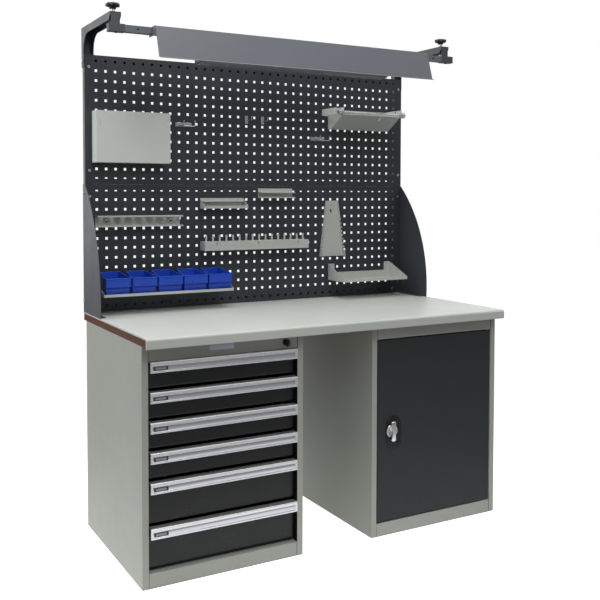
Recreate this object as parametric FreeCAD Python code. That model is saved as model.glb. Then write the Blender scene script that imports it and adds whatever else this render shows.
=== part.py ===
"""Two-pedestal workbench with a perforated tool panel, wall racks and an overhead lamp.

Millimetres, +Z up, the front faces -Y. The origin is on the floor under the middle of the worktop.
"""
import FreeCAD, Part
import math
import os

Vec = FreeCAD.Vector

# Worktop: a plywood core under a folded steel skin
WORKTOP_WIDTH = 1500.0
WORKTOP_DEPTH = 740.0
WORKTOP_TOP = 835.0
SKIN = 1.5
SKIN_LIP = 35.0
SKIN_BORDER = 5.0
SKIN_FRONT_BORDER = 8.0
NOSE_RADIUS = 9.0
NOSE_LOWER_RADIUS = 4.0

# Cabinets: one with six drawers, one with a door
CABINET_WIDTH = 600.0
CABINET_DEPTH = 650.0
CABINET_HEIGHT = 804.0
CABINET_END_GAP = 1.0
CABINET_FRONT = -317.0
SHEET = 1.5
POST_WIDTH = 22.0
POST_RETURN = 29.0
OPENING_BOTTOM = 50.0
OPENING_TOP = 752.0
PLATE_INSET = 1.0
BASE_FLANGE = 30.0

# Drawers: pitch of each front from the top one down
DRAWER_PITCHES = [100.0, 100.0, 100.0, 100.0, 150.0, 150.0]
DRAWERS_TOP = 750.0
FRONT_SETBACK = 20.0
FRONT_DEPTH = 12.0
FRONT_SIDE_GAP = 4.0
FRONT_TOP_GAP = 3.0
FRONT_BOTTOM_GAP = 7.0
FRONT_BOTTOM_RADIUS = 9.0
SLIDE_WIDTH = 13.0
SLIDE_HEIGHT = 36.0
SLIDE_LENGTH = 540.0
SLIDE_PLAY = 0.5
TRAY_DEPTH = 570.0
TRAY_FLOOR_RISE = 12.0
TRAY_HEADROOM = 20.0

# Aluminium grip rail along the top of each drawer front
RAIL_PROUD = 10.0
RAIL_RISE = 4.0
RAIL_HEIGHT = 36.5
RAIL_WALL = 7.0
RAIL_END_GAP = 5.0
RAIL_NOSE = 4.0
LABEL_RECESS = 3.0
LABEL_TOP = 9.0
LABEL_HEIGHT = 22.5
LABEL_END = 5.0

# Drawer lock on the left cabinet
LOCK_X = -220.0
LOCK_Z = 775.0
LOCK_RADIUS = 9.0
KEY_BOW_RADIUS = 13.0

# Door of the right cabinet, hung on pivots at its right edge
DOOR_GAP = 3.0
DOOR_FREE_GAP = 5.0
DOOR_END_GAP = 4.5
DOOR_SETBACK = 3.0
DOOR_DEPTH = 18.0
DOOR_LIP = 15.0
PIVOT_INSET = 13.0
PIVOT_BEHIND = 7.0
PIVOT_RADIUS = 4.0
PIVOT_LENGTH = 9.0
RUNNING_PLAY = 0.05
LATCH_X = 241.0
LATCH_Z = 398.0
ROTOR_RADIUS = 25.0
GRIP_HALF_HEIGHT = 38.0
GRIP_HALF_WIDTH = 11.0
GRIP_HALF_WAIST = 8.0
HOUSING_CENTRE = (249.0, 392.0)
HOUSING_SIZE = (74.0, 124.0)
KEYHOLE_PLACE = (275.0, 348.0)
CAM_REACH = 77.0
CAM_PLAY = 0.5
SHELF_Z = 400.0

# Perforated panels: two sheets one above the other, holes on a square grid
PANEL_WIDTH = 1496.0
PANEL_HEIGHT = 500.0
PANEL_JOINT = 1.0
PANEL_FRONT = 340.0
HOLE_SIZE = 10.0
HOLE_PITCH = 38.0
HOLE_COLUMNS = 38
HOLE_ROWS = 13
HOLE_EDGE = 22.0
PANEL_FOLD = 20.0
JOINT_LIP = 21.5
OUTER_LIP = 25.0
FOLD_HALF_WIDTH = 708.0

# Uprights, gussets and lamp arms
UPRIGHT_INNER = 714.0
UPRIGHT_OUTER = 748.0
UPRIGHT_REAR = 367.0
UPRIGHT_WALL = 2.0
FIXING_X = 731.0
FIXING_Z = [1788.0, 1388.0, 1288.0, 888.0]
GUSSET = 2.0
GUSSET_TOP = 1335.0
GUSSET_ARC = [(340.0, 1335.0), (190.0, 1130.0), (138.0, 835.0)]
GUSSET_FOOT = 25.0
GUSSET_FOOT_SPAN = (158.0, 322.0)
ARM_INNER = 710.5
ARM_OUTER = 751.0
ARM_SHEET = 3.0
ARM_BOTTOM = 1786.0
ARM_TOP = 1938.0
ARM_LOWER_EDGE = 1910.0
ARM_FRONT = -3.0
ARM_REAR = 370.0
ARM_LEG_FRONT = 342.0
ARM_BEND = 60.0
ARM_NOSE_CUT = 15.0
LAMP_TRAVEL = 200.0

# Lamp: square bar on two hangers, with a folded shade and a tubular light under it
BAR_SIZE = 25.0
BAR_REAR = 5.0
BAR_BOTTOM = 1867.0
BLOCK_SPAN = (702.0, 761.0)
BLOCK_MARGIN = 1.5
HANGER_PLAY = 1.0
HANGER_REACH = 58.0
KNOB_Y = 28.0
KNOB_RADIUS = 26.0
KNOB_BASE = 1959.5
KNOB_TOP = 1973.0
KNOB_LOBES = 7
SCREW_RADIUS = 4.0
SHADE_LENGTH = 1200.0
SHADE_SHEET = 1.5
SHADE_TOP_Y = -50.0
SHADE_BOTTOM = (-85.0, 1781.0)
SHADE_LIP = (-100.0, 1776.0)
LIGHT_LENGTH = 832.0
LIGHT_BOTTOM = 1778.0
DIFFUSER_HEIGHT = 7.0

# Racks, shelves and bins: places across the panel and heights
POCKET_SPAN = (-720.0, -421.0)
POCKET_HEIGHTS = (1419.0, 1618.0)
POCKET_DEPTH = 60.0
ROLL_ARM_X = 316.5
ROLL_TROUGH_SPAN = (347.5, 655.0)
ROLL_TROUGH_BASE = 1588.0
ROLL_ROD_PLACE = (218.0, 1655.0)
ROLL_ROD_RADIUS = 5.0
TOOL_RACK_SPAN = (-710.0, -360.0)
TOOL_RACK_HEIGHTS = (1168.0, 1212.0)
TOOL_RACK_DEPTH = 40.0
TOOL_RACK_SLOTS = 8
DRILL_RACK_SPAN = (-270.0, -72.0)
DRILL_RACK_HEIGHTS = (1238.0, 1281.0)
DRILL_RACK_DEPTH = 50.0
HEX_RACK_SPAN = (-2.0, 165.0)
HEX_RACK_HEIGHTS = (1281.0, 1322.0)
HEX_RACK_DEPTH = 30.0
SOCKET_RACK_SPAN = (-270.0, 218.0)
SOCKET_RACK_HEIGHTS = (1064.0, 1101.0)
SOCKET_RACK_DEPTH = 55.0
SOCKET_PINS = 16
WRENCH_X = 367.0
WRENCH_HALF_WIDTHS = (63.0, 31.0)
WRENCH_HEIGHTS = (1020.0, 1268.5)
WRENCH_CHEEK_DEPTHS = (22.0, 7.0)
WRENCH_NOTCHES = 8
SHELF_DEPTH = 142.0
RIGHT_SHELF_SPAN = (351.0, 686.0)
RIGHT_SHELF_BASE = 912.5
LEFT_SHELF_SPAN = (-718.0, -182.0)
LEFT_SHELF_BASE = 906.0
SHELF_LIP = 12.0
SHELF_BACK = 33.0
SHELF_TAB = (32.0, 72.0)
BIN_COUNT = 5
BIN_FRONT_WIDTH = 104.6
BIN_REAR_WIDTH = 84.0
BIN_PITCH = 106.0
BIN_FIRST_CENTRE = -661.0
BIN_FRONT = 201.0
BIN_REAR = 326.0
BIN_WALL = 2.0
DOUBLE_HOOKS = [(-342.0, 1594.0), (292.0, 1547.0)]
DOUBLE_HOOK_HALF_WIDTH = 24.0
SINGLE_HOOKS = [(-57.0, 1632.0), (19.0, 1632.0)]
HOOK_WIRE = 1.8

# Places worked out from the sizes above
HALF_WORKTOP = WORKTOP_WIDTH / 2
HALF_DEPTH = WORKTOP_DEPTH / 2
CABINET_REAR = CABINET_FRONT + CABINET_DEPTH
LEFT_CABINET_X = -HALF_WORKTOP + CABINET_END_GAP
RIGHT_CABINET_X = HALF_WORKTOP - CABINET_END_GAP - CABINET_WIDTH
PANEL_REAR = PANEL_FRONT + SHEET
BAR_FRONT = BAR_REAR - BAR_SIZE
BAR_TOP = BAR_BOTTOM + BAR_SIZE
DOOR_LEFT = RIGHT_CABINET_X + POST_WIDTH + DOOR_FREE_GAP
DOOR_RIGHT = RIGHT_CABINET_X + CABINET_WIDTH - POST_WIDTH - DOOR_GAP
DOOR_FACE = CABINET_FRONT + DOOR_SETBACK
DOOR_BACK = DOOR_FACE + DOOR_DEPTH
PIVOT_X = DOOR_RIGHT + DOOR_GAP - PIVOT_INSET
PIVOT_Y = DOOR_FACE + PIVOT_BEHIND


def box(x0, x1, y0, y1, z0, z1):
    return Part.makeBox(x1 - x0, y1 - y0, z1 - z0, Vec(x0, y0, z0))


def disc(centre, axis, radius, length):
    return Part.makeCylinder(radius, length, Vec(*centre), Vec(*axis))


def prism_x(points, x0, x1):
    """Extrude a (y, z) outline from x0 to x1."""
    wire = Part.makePolygon([Vec(x0, y, z) for y, z in points + points[:1]])
    return Part.Face(wire).extrude(Vec(x1 - x0, 0, 0))


def prism_y(points, y0, y1):
    """Extrude an (x, z) outline from y0 to y1."""
    wire = Part.makePolygon([Vec(x, y0, z) for x, z in points + points[:1]])
    return Part.Face(wire).extrude(Vec(0, y1 - y0, 0))


def prism_z(points, z0, z1):
    """Extrude an (x, y) outline from z0 to z1."""
    wire = Part.makePolygon([Vec(x, y, z0) for x, y in points + points[:1]])
    return Part.Face(wire).extrude(Vec(0, 0, z1 - z0))


def fuse(shapes):
    return shapes[0].multiFuse(shapes[1:]).removeSplitter()


def cut(shape, tools):
    for tool in tools:
        shape = shape.cut(tool)
    return shape


def mirrored(shape):
    return shape.mirror(Vec(0, 0, 0), Vec(1, 0, 0))


def round_edges(shape, radius, chosen):
    edges = [edge for edge in shape.Edges if chosen(edge)]
    return shape.makeFillet(radius, edges)


def runs_along_x(edge, y, z):
    """True for a straight edge along X through the given y and z."""
    ends = [vertex.Point for vertex in edge.Vertexes]
    return all(abs(p.y - y) < 0.01 and abs(p.z - z) < 0.01 for p in ends) and len(ends) == 2


def runs_along_y(edge, x, z):
    ends = [vertex.Point for vertex in edge.Vertexes]
    return all(abs(p.x - x) < 0.01 and abs(p.z - z) < 0.01 for p in ends) and len(ends) == 2


def save(name, solids):
    Part.Compound(solids).exportStep("parts/%s.step" % name)


# Worktop

def worktop_skin():
    outer = box(-HALF_WORKTOP, HALF_WORKTOP, -HALF_DEPTH, HALF_DEPTH, WORKTOP_TOP - SKIN_LIP, WORKTOP_TOP)
    outer = round_edges(outer, NOSE_RADIUS, lambda e: runs_along_x(e, -HALF_DEPTH, WORKTOP_TOP))
    outer = round_edges(outer, NOSE_LOWER_RADIUS,
                        lambda e: runs_along_x(e, -HALF_DEPTH, WORKTOP_TOP - SKIN_LIP))
    inner = box(-HALF_WORKTOP + SKIN, HALF_WORKTOP - SKIN, -HALF_DEPTH + SKIN, HALF_DEPTH - SKIN,
                WORKTOP_TOP - SKIN_LIP + SKIN, WORKTOP_TOP - SKIN)
    inner = round_edges(inner, NOSE_RADIUS - SKIN,
                        lambda e: runs_along_x(e, -HALF_DEPTH + SKIN, WORKTOP_TOP - SKIN))
    below_border = box(-HALF_WORKTOP - 1, HALF_WORKTOP + 1, -HALF_DEPTH + SKIN_FRONT_BORDER, HALF_DEPTH + 1,
                       WORKTOP_TOP - SKIN_LIP - 1, WORKTOP_TOP - SKIN_BORDER)
    return cut(outer, [inner, below_border])


def worktop_core():
    core = box(-HALF_WORKTOP + SKIN, HALF_WORKTOP - SKIN, -HALF_DEPTH + SKIN, HALF_DEPTH - SKIN,
               CABINET_HEIGHT, WORKTOP_TOP - SKIN)
    core = round_edges(core, NOSE_RADIUS, lambda e: runs_along_x(e, -HALF_DEPTH + SKIN, WORKTOP_TOP - SKIN))
    return cut(core, [disc((x, y, CABINET_HEIGHT - 1), (0, 0, 1), 3.2, 21) for x, y in worktop_screw_places()])


def worktop_screw_places():
    places = []
    for left in (LEFT_CABINET_X, RIGHT_CABINET_X):
        for x in (left + 60, left + CABINET_WIDTH - 60):
            for y in (CABINET_FRONT + 60, CABINET_REAR - 60):
                places.append((x, y))
    return places


# Cabinets

def carcass(left):
    """Folded sheet shell with front posts, a top rail, a floor with its sill and a base flange."""
    right = left + CABINET_WIDTH
    front, rear, top = CABINET_FRONT, CABINET_REAR, CABINET_HEIGHT
    pieces = [
        box(left, left + SHEET, front, rear, 0, top),
        box(right - SHEET, right, front, rear, 0, top),
        box(left, right, rear - SHEET, rear, 0, top),
        box(left, right, front, rear, top - SHEET, top),
        box(left, left + POST_WIDTH, front, front + SHEET, 0, top),
        box(right - POST_WIDTH, right, front, front + SHEET, 0, top),
        box(left + POST_WIDTH - SHEET, left + POST_WIDTH, front, front + POST_RETURN, 0, top),
        box(right - POST_WIDTH, right - POST_WIDTH + SHEET, front, front + POST_RETURN, 0, top),
    ]
    inner_left, inner_right = left + POST_WIDTH - SHEET, right - POST_WIDTH + SHEET
    plate_front = front + PLATE_INSET
    pieces += [
        box(inner_left, inner_right, plate_front, plate_front + SHEET, OPENING_TOP, top),
        box(inner_left, inner_right, plate_front, front + 26, OPENING_TOP, OPENING_TOP + SHEET),
        box(inner_left, inner_right, plate_front, plate_front + SHEET, 0, OPENING_BOTTOM),
        box(inner_left, inner_right, plate_front, rear, OPENING_BOTTOM - SHEET, OPENING_BOTTOM),
        box(left, right, front, rear, OPENING_BOTTOM - SHEET, OPENING_BOTTOM).cut(
            box(left - 1, right + 1, front - 1, front + POST_RETURN, 0, top)),
    ]
    flange = box(left, right, front, rear, 0, SHEET)
    hole = box(left + BASE_FLANGE, right - BASE_FLANGE, front + BASE_FLANGE, rear - BASE_FLANGE, -1, SHEET + 1)
    pieces.append(flange.cut(hole))
    shell = fuse(pieces)
    screw_holes = [disc((x, y, top - 5), (0, 0, 1), 3.2, 10) for x, y in worktop_screw_places()
                   if left < x < right]
    return cut(shell, screw_holes)


def left_cabinet():
    barrel_hole = disc((LOCK_X, CABINET_FRONT - 1, LOCK_Z), (0, 1, 0), LOCK_RADIUS + 0.1, 6)
    return carcass(LEFT_CABINET_X).cut(barrel_hole)


def drawer_tops():
    """Height of the upper boundary of each drawer, from the top one down."""
    tops = [DRAWERS_TOP]
    for pitch in DRAWER_PITCHES[:-1]:
        tops.append(tops[-1] - pitch)
    return tops


def slide_heights(top, pitch):
    middle = top - pitch + TRAY_FLOOR_RISE + SLIDE_HEIGHT / 2 + 4
    return middle - SLIDE_HEIGHT / 2, middle + SLIDE_HEIGHT / 2


def fixed_slide(top, pitch):
    """Channel for the left side of a drawer, with two stand-off brackets to the cabinet wall."""
    low, high = slide_heights(top, pitch)
    wall = LEFT_CABINET_X + SHEET
    face = LEFT_CABINET_X + POST_WIDTH
    start = CABINET_FRONT + FRONT_SETBACK + FRONT_DEPTH + 2
    end = start + SLIDE_LENGTH
    pieces = [
        box(face, face + SHEET, start, end, low, high),
        box(face, face + 6, start, end, low, low + SHEET),
        box(face, face + 6, start, end, high - SHEET, high),
    ]
    for y in (start + 30, end - 60):
        pieces.append(box(wall, face, y, y + 30, low + 8, high - 8))
    return fuse(pieces)


def drawer_runners():
    runners = []
    middle = LEFT_CABINET_X + CABINET_WIDTH / 2
    for top, pitch in zip(drawer_tops(), DRAWER_PITCHES):
        left_slide = fixed_slide(top, pitch)
        right_slide = left_slide.mirror(Vec(middle, 0, 0), Vec(1, 0, 0))
        runners += [left_slide, right_slide]
    return runners


# Drawers

def drawer_box(top, pitch):
    """Tray welded from five sheets with its two moving slide members, and the folded front pan."""
    left = LEFT_CABINET_X + POST_WIDTH + SLIDE_WIDTH
    right = LEFT_CABINET_X + CABINET_WIDTH - POST_WIDTH - SLIDE_WIDTH
    start = CABINET_FRONT + FRONT_SETBACK + FRONT_DEPTH
    end = start + TRAY_DEPTH
    floor = top - pitch + TRAY_FLOOR_RISE
    rim = top - TRAY_HEADROOM
    tray = [box(left, right, start, end, floor, floor + SHEET)]
    for x in (left, right - SHEET):
        tray.append(box(x, x + SHEET, start, end, floor + SHEET, rim))
    for y in (start, end - SHEET):
        tray.append(box(left + SHEET, right - SHEET, y, y + SHEET, floor + SHEET, rim))
    low, high = slide_heights(top, pitch)
    member = box(left - SLIDE_WIDTH + SHEET + SLIDE_PLAY, left, start + 2, start + 2 + SLIDE_LENGTH,
                 low + SHEET + SLIDE_PLAY, high - SHEET - SLIDE_PLAY)
    middle = LEFT_CABINET_X + CABINET_WIDTH / 2
    other_member = member.mirror(Vec(middle, 0, 0), Vec(1, 0, 0))
    return tray + [member, other_member, drawer_front(top, pitch)]


def drawer_front(top, pitch):
    left = LEFT_CABINET_X + POST_WIDTH + FRONT_SIDE_GAP
    right = LEFT_CABINET_X + CABINET_WIDTH - POST_WIDTH - FRONT_SIDE_GAP
    face = CABINET_FRONT + FRONT_SETBACK
    low, high = top - pitch + FRONT_BOTTOM_GAP, top - FRONT_TOP_GAP
    pan = box(left, right, face, face + FRONT_DEPTH, low, high)
    pan = round_edges(pan, FRONT_BOTTOM_RADIUS, lambda e: runs_along_x(e, face, low))
    hollow = box(left + SHEET, right - SHEET, face + SHEET, face + FRONT_DEPTH + 1, low + SHEET, high - SHEET)
    hollow = round_edges(hollow, FRONT_BOTTOM_RADIUS - SHEET,
                         lambda e: runs_along_x(e, face + SHEET, low + SHEET))
    return pan.cut(hollow)


def grip_rail(top):
    """Extruded rail: a top plate, a hanging front wall with a label recess, and a finger gap behind."""
    left = LEFT_CABINET_X + POST_WIDTH + RAIL_END_GAP
    right = LEFT_CABINET_X + CABINET_WIDTH - POST_WIDTH - RAIL_END_GAP
    back = CABINET_FRONT + FRONT_SETBACK
    nose = CABINET_FRONT - RAIL_PROUD
    high = top - FRONT_TOP_GAP + RAIL_RISE
    low = high - RAIL_HEIGHT
    wall_back = nose + RAIL_WALL
    outline = [(back, high), (nose, high), (nose, low), (wall_back, low), (wall_back, high - 6), (back, high - 6)]
    rail = prism_x(outline, left, right)
    rail = round_edges(rail, RAIL_NOSE, lambda e: runs_along_x(e, nose, high))
    rail = round_edges(rail, 1.5, lambda e: runs_along_x(e, nose, low))
    recess = box(left + LABEL_END, right - LABEL_END, nose - 1, nose + LABEL_RECESS,
                 high - LABEL_TOP - LABEL_HEIGHT, high - LABEL_TOP)
    return rail.cut(recess)


def lock_barrel():
    """Fixed housing of the drawer lock, a flanged tube through the top rail."""
    flange = disc((LOCK_X, CABINET_FRONT - 1.5, LOCK_Z), (0, 1, 0), LOCK_RADIUS + 2, 2.5)
    tube = disc((LOCK_X, CABINET_FRONT, LOCK_Z), (0, 1, 0), LOCK_RADIUS, 22)
    bore = disc((LOCK_X, CABINET_FRONT - 2, LOCK_Z), (0, 1, 0), 6 + RUNNING_PLAY, 30)
    return fuse([flange, tube]).cut(bore)


def lock_key():
    """Plug with a cam at its inner end and a key with a flat round bow at its outer end."""
    face = CABINET_FRONT - 1.5
    plug = disc((LOCK_X, face, LOCK_Z), (0, 1, 0), 6, 26)
    blade = box(LOCK_X - 1, LOCK_X + 1, face - 8, face + 1, LOCK_Z - 3.5, LOCK_Z + 3.5)
    bow = disc((LOCK_X - 2.5, face - 4 - KEY_BOW_RADIUS, LOCK_Z), (1, 0, 0), KEY_BOW_RADIUS, 5)
    bow_hole = disc((LOCK_X - 4, face - 10 - KEY_BOW_RADIUS, LOCK_Z), (1, 0, 0), 2.5, 8)
    cam = box(LOCK_X - 5, LOCK_X + 5, face + 26, face + 28.5, LOCK_Z - 16, LOCK_Z + 5)
    return fuse([plug, blade, bow.cut(bow_hole), cam])


# Door

def door_panel():
    low, high = OPENING_BOTTOM + DOOR_END_GAP, OPENING_TOP - DOOR_END_GAP
    pan = box(DOOR_LEFT, DOOR_RIGHT, DOOR_FACE, DOOR_BACK, low, high)
    hollow = box(DOOR_LEFT + SHEET, DOOR_RIGHT - SHEET, DOOR_FACE + SHEET, DOOR_BACK - SHEET,
                 low + SHEET, high - SHEET)
    window = box(DOOR_LEFT + DOOR_LIP, DOOR_RIGHT - DOOR_LIP, DOOR_BACK - SHEET - 1, DOOR_BACK + 1,
                 low + DOOR_LIP, high - DOOR_LIP)
    rib_middle = (DOOR_LEFT + DOOR_RIGHT) / 2 + 60
    rib = box(rib_middle - 20, rib_middle + 20, DOOR_FACE + SHEET, DOOR_BACK, low + SHEET, high - SHEET)
    rib = rib.cut(box(rib_middle - 18, rib_middle + 18, DOOR_FACE, DOOR_BACK - 2, low + 2, high - 2))
    door = fuse([cut(pan, [hollow, window]), rib])
    pin_hole = disc((PIVOT_X, PIVOT_Y, low - 1), (0, 0, 1), PIVOT_RADIUS + RUNNING_PLAY, high - low + 2)
    spindle_hole = disc((LATCH_X, DOOR_FACE - 1, LATCH_Z), (0, 1, 0), 8, 6)
    keyhole = disc((KEYHOLE_PLACE[0], DOOR_FACE - 1, KEYHOLE_PLACE[1]), (0, 1, 0), 8, 6)
    return cut(door, [pin_hole, spindle_hole, keyhole])


def door_pivots():
    lower = disc((PIVOT_X, PIVOT_Y, OPENING_BOTTOM), (0, 0, 1), PIVOT_RADIUS, PIVOT_LENGTH)
    upper = disc((PIVOT_X, PIVOT_Y, OPENING_TOP - PIVOT_LENGTH), (0, 0, 1), PIVOT_RADIUS, PIVOT_LENGTH)
    collars = [disc((PIVOT_X, PIVOT_Y, z), (0, 0, 1), 6.5, 2) for z in (OPENING_BOTTOM, OPENING_TOP - 2)]
    return [fuse([lower, collars[0]]), fuse([upper, collars[1]])]


def rounded_plate(centre, size, corner, y0, y1):
    x0, x1 = centre[0] - size[0] / 2, centre[0] + size[0] / 2
    z0, z1 = centre[1] - size[1] / 2, centre[1] + size[1] / 2
    plate = box(x0, x1, y0, y1, z0, z1)
    return round_edges(plate, corner, lambda e: any(runs_along_y(e, x, z) for x in (x0, x1) for z in (z0, z1)))


def latch_housing():
    """Black bezel of the door latch, dished round the turning handle, with a round key lock."""
    bezel = rounded_plate(HOUSING_CENTRE, HOUSING_SIZE, 30, DOOR_FACE - 4, DOOR_FACE)
    dish = disc((LATCH_X, DOOR_FACE - 5, LATCH_Z), (0, 1, 0), ROTOR_RADIUS + 0.6, 3.5)
    sleeve = disc((LATCH_X, DOOR_FACE - 1.5, LATCH_Z), (0, 1, 0), 7.8, 14)
    bore = disc((LATCH_X, DOOR_FACE - 6, LATCH_Z), (0, 1, 0), 5 + RUNNING_PLAY, 30)
    lock = disc((KEYHOLE_PLACE[0], DOOR_FACE - 5.5, KEYHOLE_PLACE[1]), (0, 1, 0), 7.8, 24)
    lock_bore = disc((KEYHOLE_PLACE[0], DOOR_FACE - 7, KEYHOLE_PLACE[1]), (0, 1, 0), 5.5 + RUNNING_PLAY, 40)
    return cut(fuse([bezel.cut(dish), sleeve, lock]), [bore, lock_bore])


def latch_handle():
    """Round rotor in the dish, a waisted grip across it and a spindle through the door."""
    rotor_back = DOOR_FACE - 2
    grip_back = DOOR_FACE - 4.6
    rotor = disc((LATCH_X, rotor_back - 3, LATCH_Z), (0, 1, 0), ROTOR_RADIUS, 3)
    shoulder = GRIP_HALF_HEIGHT - 5
    sides = [(GRIP_HALF_WIDTH, shoulder), (GRIP_HALF_WAIST, 0), (GRIP_HALF_WIDTH, -shoulder), (0, -GRIP_HALF_HEIGHT),
             (-GRIP_HALF_WIDTH, -shoulder), (-GRIP_HALF_WAIST, 0), (-GRIP_HALF_WIDTH, shoulder),
             (0, GRIP_HALF_HEIGHT), (GRIP_HALF_WIDTH, shoulder)]
    points = [Vec(LATCH_X + x, grip_back - 17, LATCH_Z + z) for x, z in sides]
    arcs = [Part.Arc(*points[start:start + 3]).toShape() for start in range(0, 8, 2)]
    grip = Part.Face(Part.Wire(arcs)).extrude(Vec(0, 17, 0))
    spindle_end = CABINET_FRONT + POST_RETURN + CAM_PLAY + 3
    spindle = disc((LATCH_X, rotor_back - 1, LATCH_Z), (0, 1, 0), 5, spindle_end - rotor_back + 1)
    return fuse([rotor, grip, spindle])


def latch_cam():
    """Flat cam on the spindle; a quarter turn of the handle swings it behind the cabinet's front post."""
    cam_front = CABINET_FRONT + POST_RETURN + CAM_PLAY
    hub = disc((LATCH_X, cam_front, LATCH_Z), (0, 1, 0), 12, 2.5)
    arm = box(LATCH_X - 8, LATCH_X + 8, cam_front, cam_front + 2.5, LATCH_Z - CAM_REACH, LATCH_Z)
    spindle_hole = disc((LATCH_X, cam_front - 1, LATCH_Z), (0, 1, 0), 5, 5)
    return fuse([hub, arm]).cut(spindle_hole)


def lock_core():
    x, z = KEYHOLE_PLACE
    plug = disc((x, DOOR_FACE - 6, z), (0, 1, 0), 5.5, 26)
    slit = box(x - 0.8, x + 0.8, DOOR_FACE - 7, DOOR_FACE + 2, z - 3.5, z + 3.5)
    return plug.cut(slit)


def cabinet_shelf():
    """Loose shelf, a pan open below."""
    left, right = RIGHT_CABINET_X + SHEET + 2, RIGHT_CABINET_X + CABINET_WIDTH - SHEET - 2
    front, rear = CABINET_FRONT + 75, CABINET_REAR - SHEET - 3
    pan = box(left, right, front, rear, SHELF_Z - 25, SHELF_Z)
    hollow = box(left + SHEET, right - SHEET, front + SHEET, rear - SHEET, SHELF_Z - 26, SHELF_Z - SHEET)
    return pan.cut(hollow)


def shelf_pegs():
    pegs = []
    for x in (RIGHT_CABINET_X + SHEET, RIGHT_CABINET_X + CABINET_WIDTH - SHEET - 12):
        for y in (CABINET_FRONT + 115, CABINET_REAR - 60):
            pegs.append(box(x, x + 12, y, y + 10, SHELF_Z - 31, SHELF_Z - 25))
    return pegs


# Panel frame

def perforated_panel(bottom, bottom_lip, top_lip):
    """Sheet with square holes, folded back along its lower and upper edge."""
    half = PANEL_WIDTH / 2
    top = bottom + PANEL_HEIGHT
    low = bottom + (PANEL_JOINT / 2 if bottom > WORKTOP_TOP else 0)
    high = top - (PANEL_JOINT / 2 if bottom == WORKTOP_TOP else 0)
    wires = [Part.makePolygon([Vec(x, PANEL_FRONT, z) for x, z in
                               [(-half, low), (half, low), (half, high), (-half, high), (-half, low)]])]
    for column in range(HOLE_COLUMNS):
        x = (column - (HOLE_COLUMNS - 1) / 2) * HOLE_PITCH
        for row in range(HOLE_ROWS):
            wires.append(square(x, bottom + HOLE_EDGE + row * HOLE_PITCH, HOLE_SIZE / 2))
    for x in (-FIXING_X, FIXING_X):
        for z in FIXING_Z:
            if bottom < z < top:
                wires.append(square(x, z, 3.4))
    pieces = [Part.Face(wires).extrude(Vec(0, SHEET, 0))]
    fold_back = PANEL_REAR + PANEL_FOLD
    for ledge, lip in (((low, low + SHEET), (low, low + bottom_lip)),
                       ((high - SHEET, high), (high - top_lip, high))):
        pieces.append(box(-FOLD_HALF_WIDTH, FOLD_HALF_WIDTH, PANEL_REAR - 0.5, fold_back, *ledge))
        pieces.append(box(-FOLD_HALF_WIDTH, FOLD_HALF_WIDTH, fold_back - SHEET, fold_back, *lip))
    return fuse(pieces)


def square(x, z, half):
    """Outline of a hole, run the opposite way to the outline of the sheet."""
    corners = [(x - half, z - half), (x - half, z + half), (x + half, z + half), (x + half, z - half)]
    return Part.makePolygon([Vec(a, PANEL_FRONT, b) for a, b in corners + corners[:1]])


def upright():
    post = box(UPRIGHT_INNER, UPRIGHT_OUTER, PANEL_REAR, UPRIGHT_REAR, WORKTOP_TOP, WORKTOP_TOP + 1000)
    hollow = box(UPRIGHT_INNER + UPRIGHT_WALL, UPRIGHT_OUTER - UPRIGHT_WALL, PANEL_REAR + UPRIGHT_WALL,
                 UPRIGHT_REAR - UPRIGHT_WALL, WORKTOP_TOP + UPRIGHT_WALL, WORKTOP_TOP + 999)
    holes = [disc((FIXING_X, PANEL_REAR - 1, z), (0, 1, 0), 3.2, 5) for z in FIXING_Z]
    side_holes = [disc((UPRIGHT_OUTER + 1, 355, z), (-1, 0, 0), 3.2, 5) for z in side_bolt_heights()]
    return cut(post, [hollow] + holes + side_holes)


def side_bolt_heights():
    """Bolts through the gusset and the lamp arm into the outer side of the upright."""
    return [880.0, 1300.0, 1811.0]


def gusset():
    outer_x = UPRIGHT_OUTER
    start, middle, end = [Vec(outer_x, y, z) for y, z in GUSSET_ARC]
    curve = Part.Arc(start, middle, end).toShape()
    corners = [end, Vec(outer_x, UPRIGHT_REAR, WORKTOP_TOP), Vec(outer_x, UPRIGHT_REAR, GUSSET_TOP), start]
    edges = [curve] + [Part.LineSegment(a, b).toShape() for a, b in zip(corners, corners[1:])]
    plate = Part.Face(Part.Wire(edges)).extrude(Vec(GUSSET, 0, 0))
    foot = box(outer_x - GUSSET_FOOT, outer_x + GUSSET, GUSSET_FOOT_SPAN[0], GUSSET_FOOT_SPAN[1],
               WORKTOP_TOP, WORKTOP_TOP + GUSSET)
    holes = [disc((outer_x - 1, 355, z), (1, 0, 0), 3.2, 5) for z in side_bolt_heights()[:2]]
    return cut(fuse([plate, foot]), holes)


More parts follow.
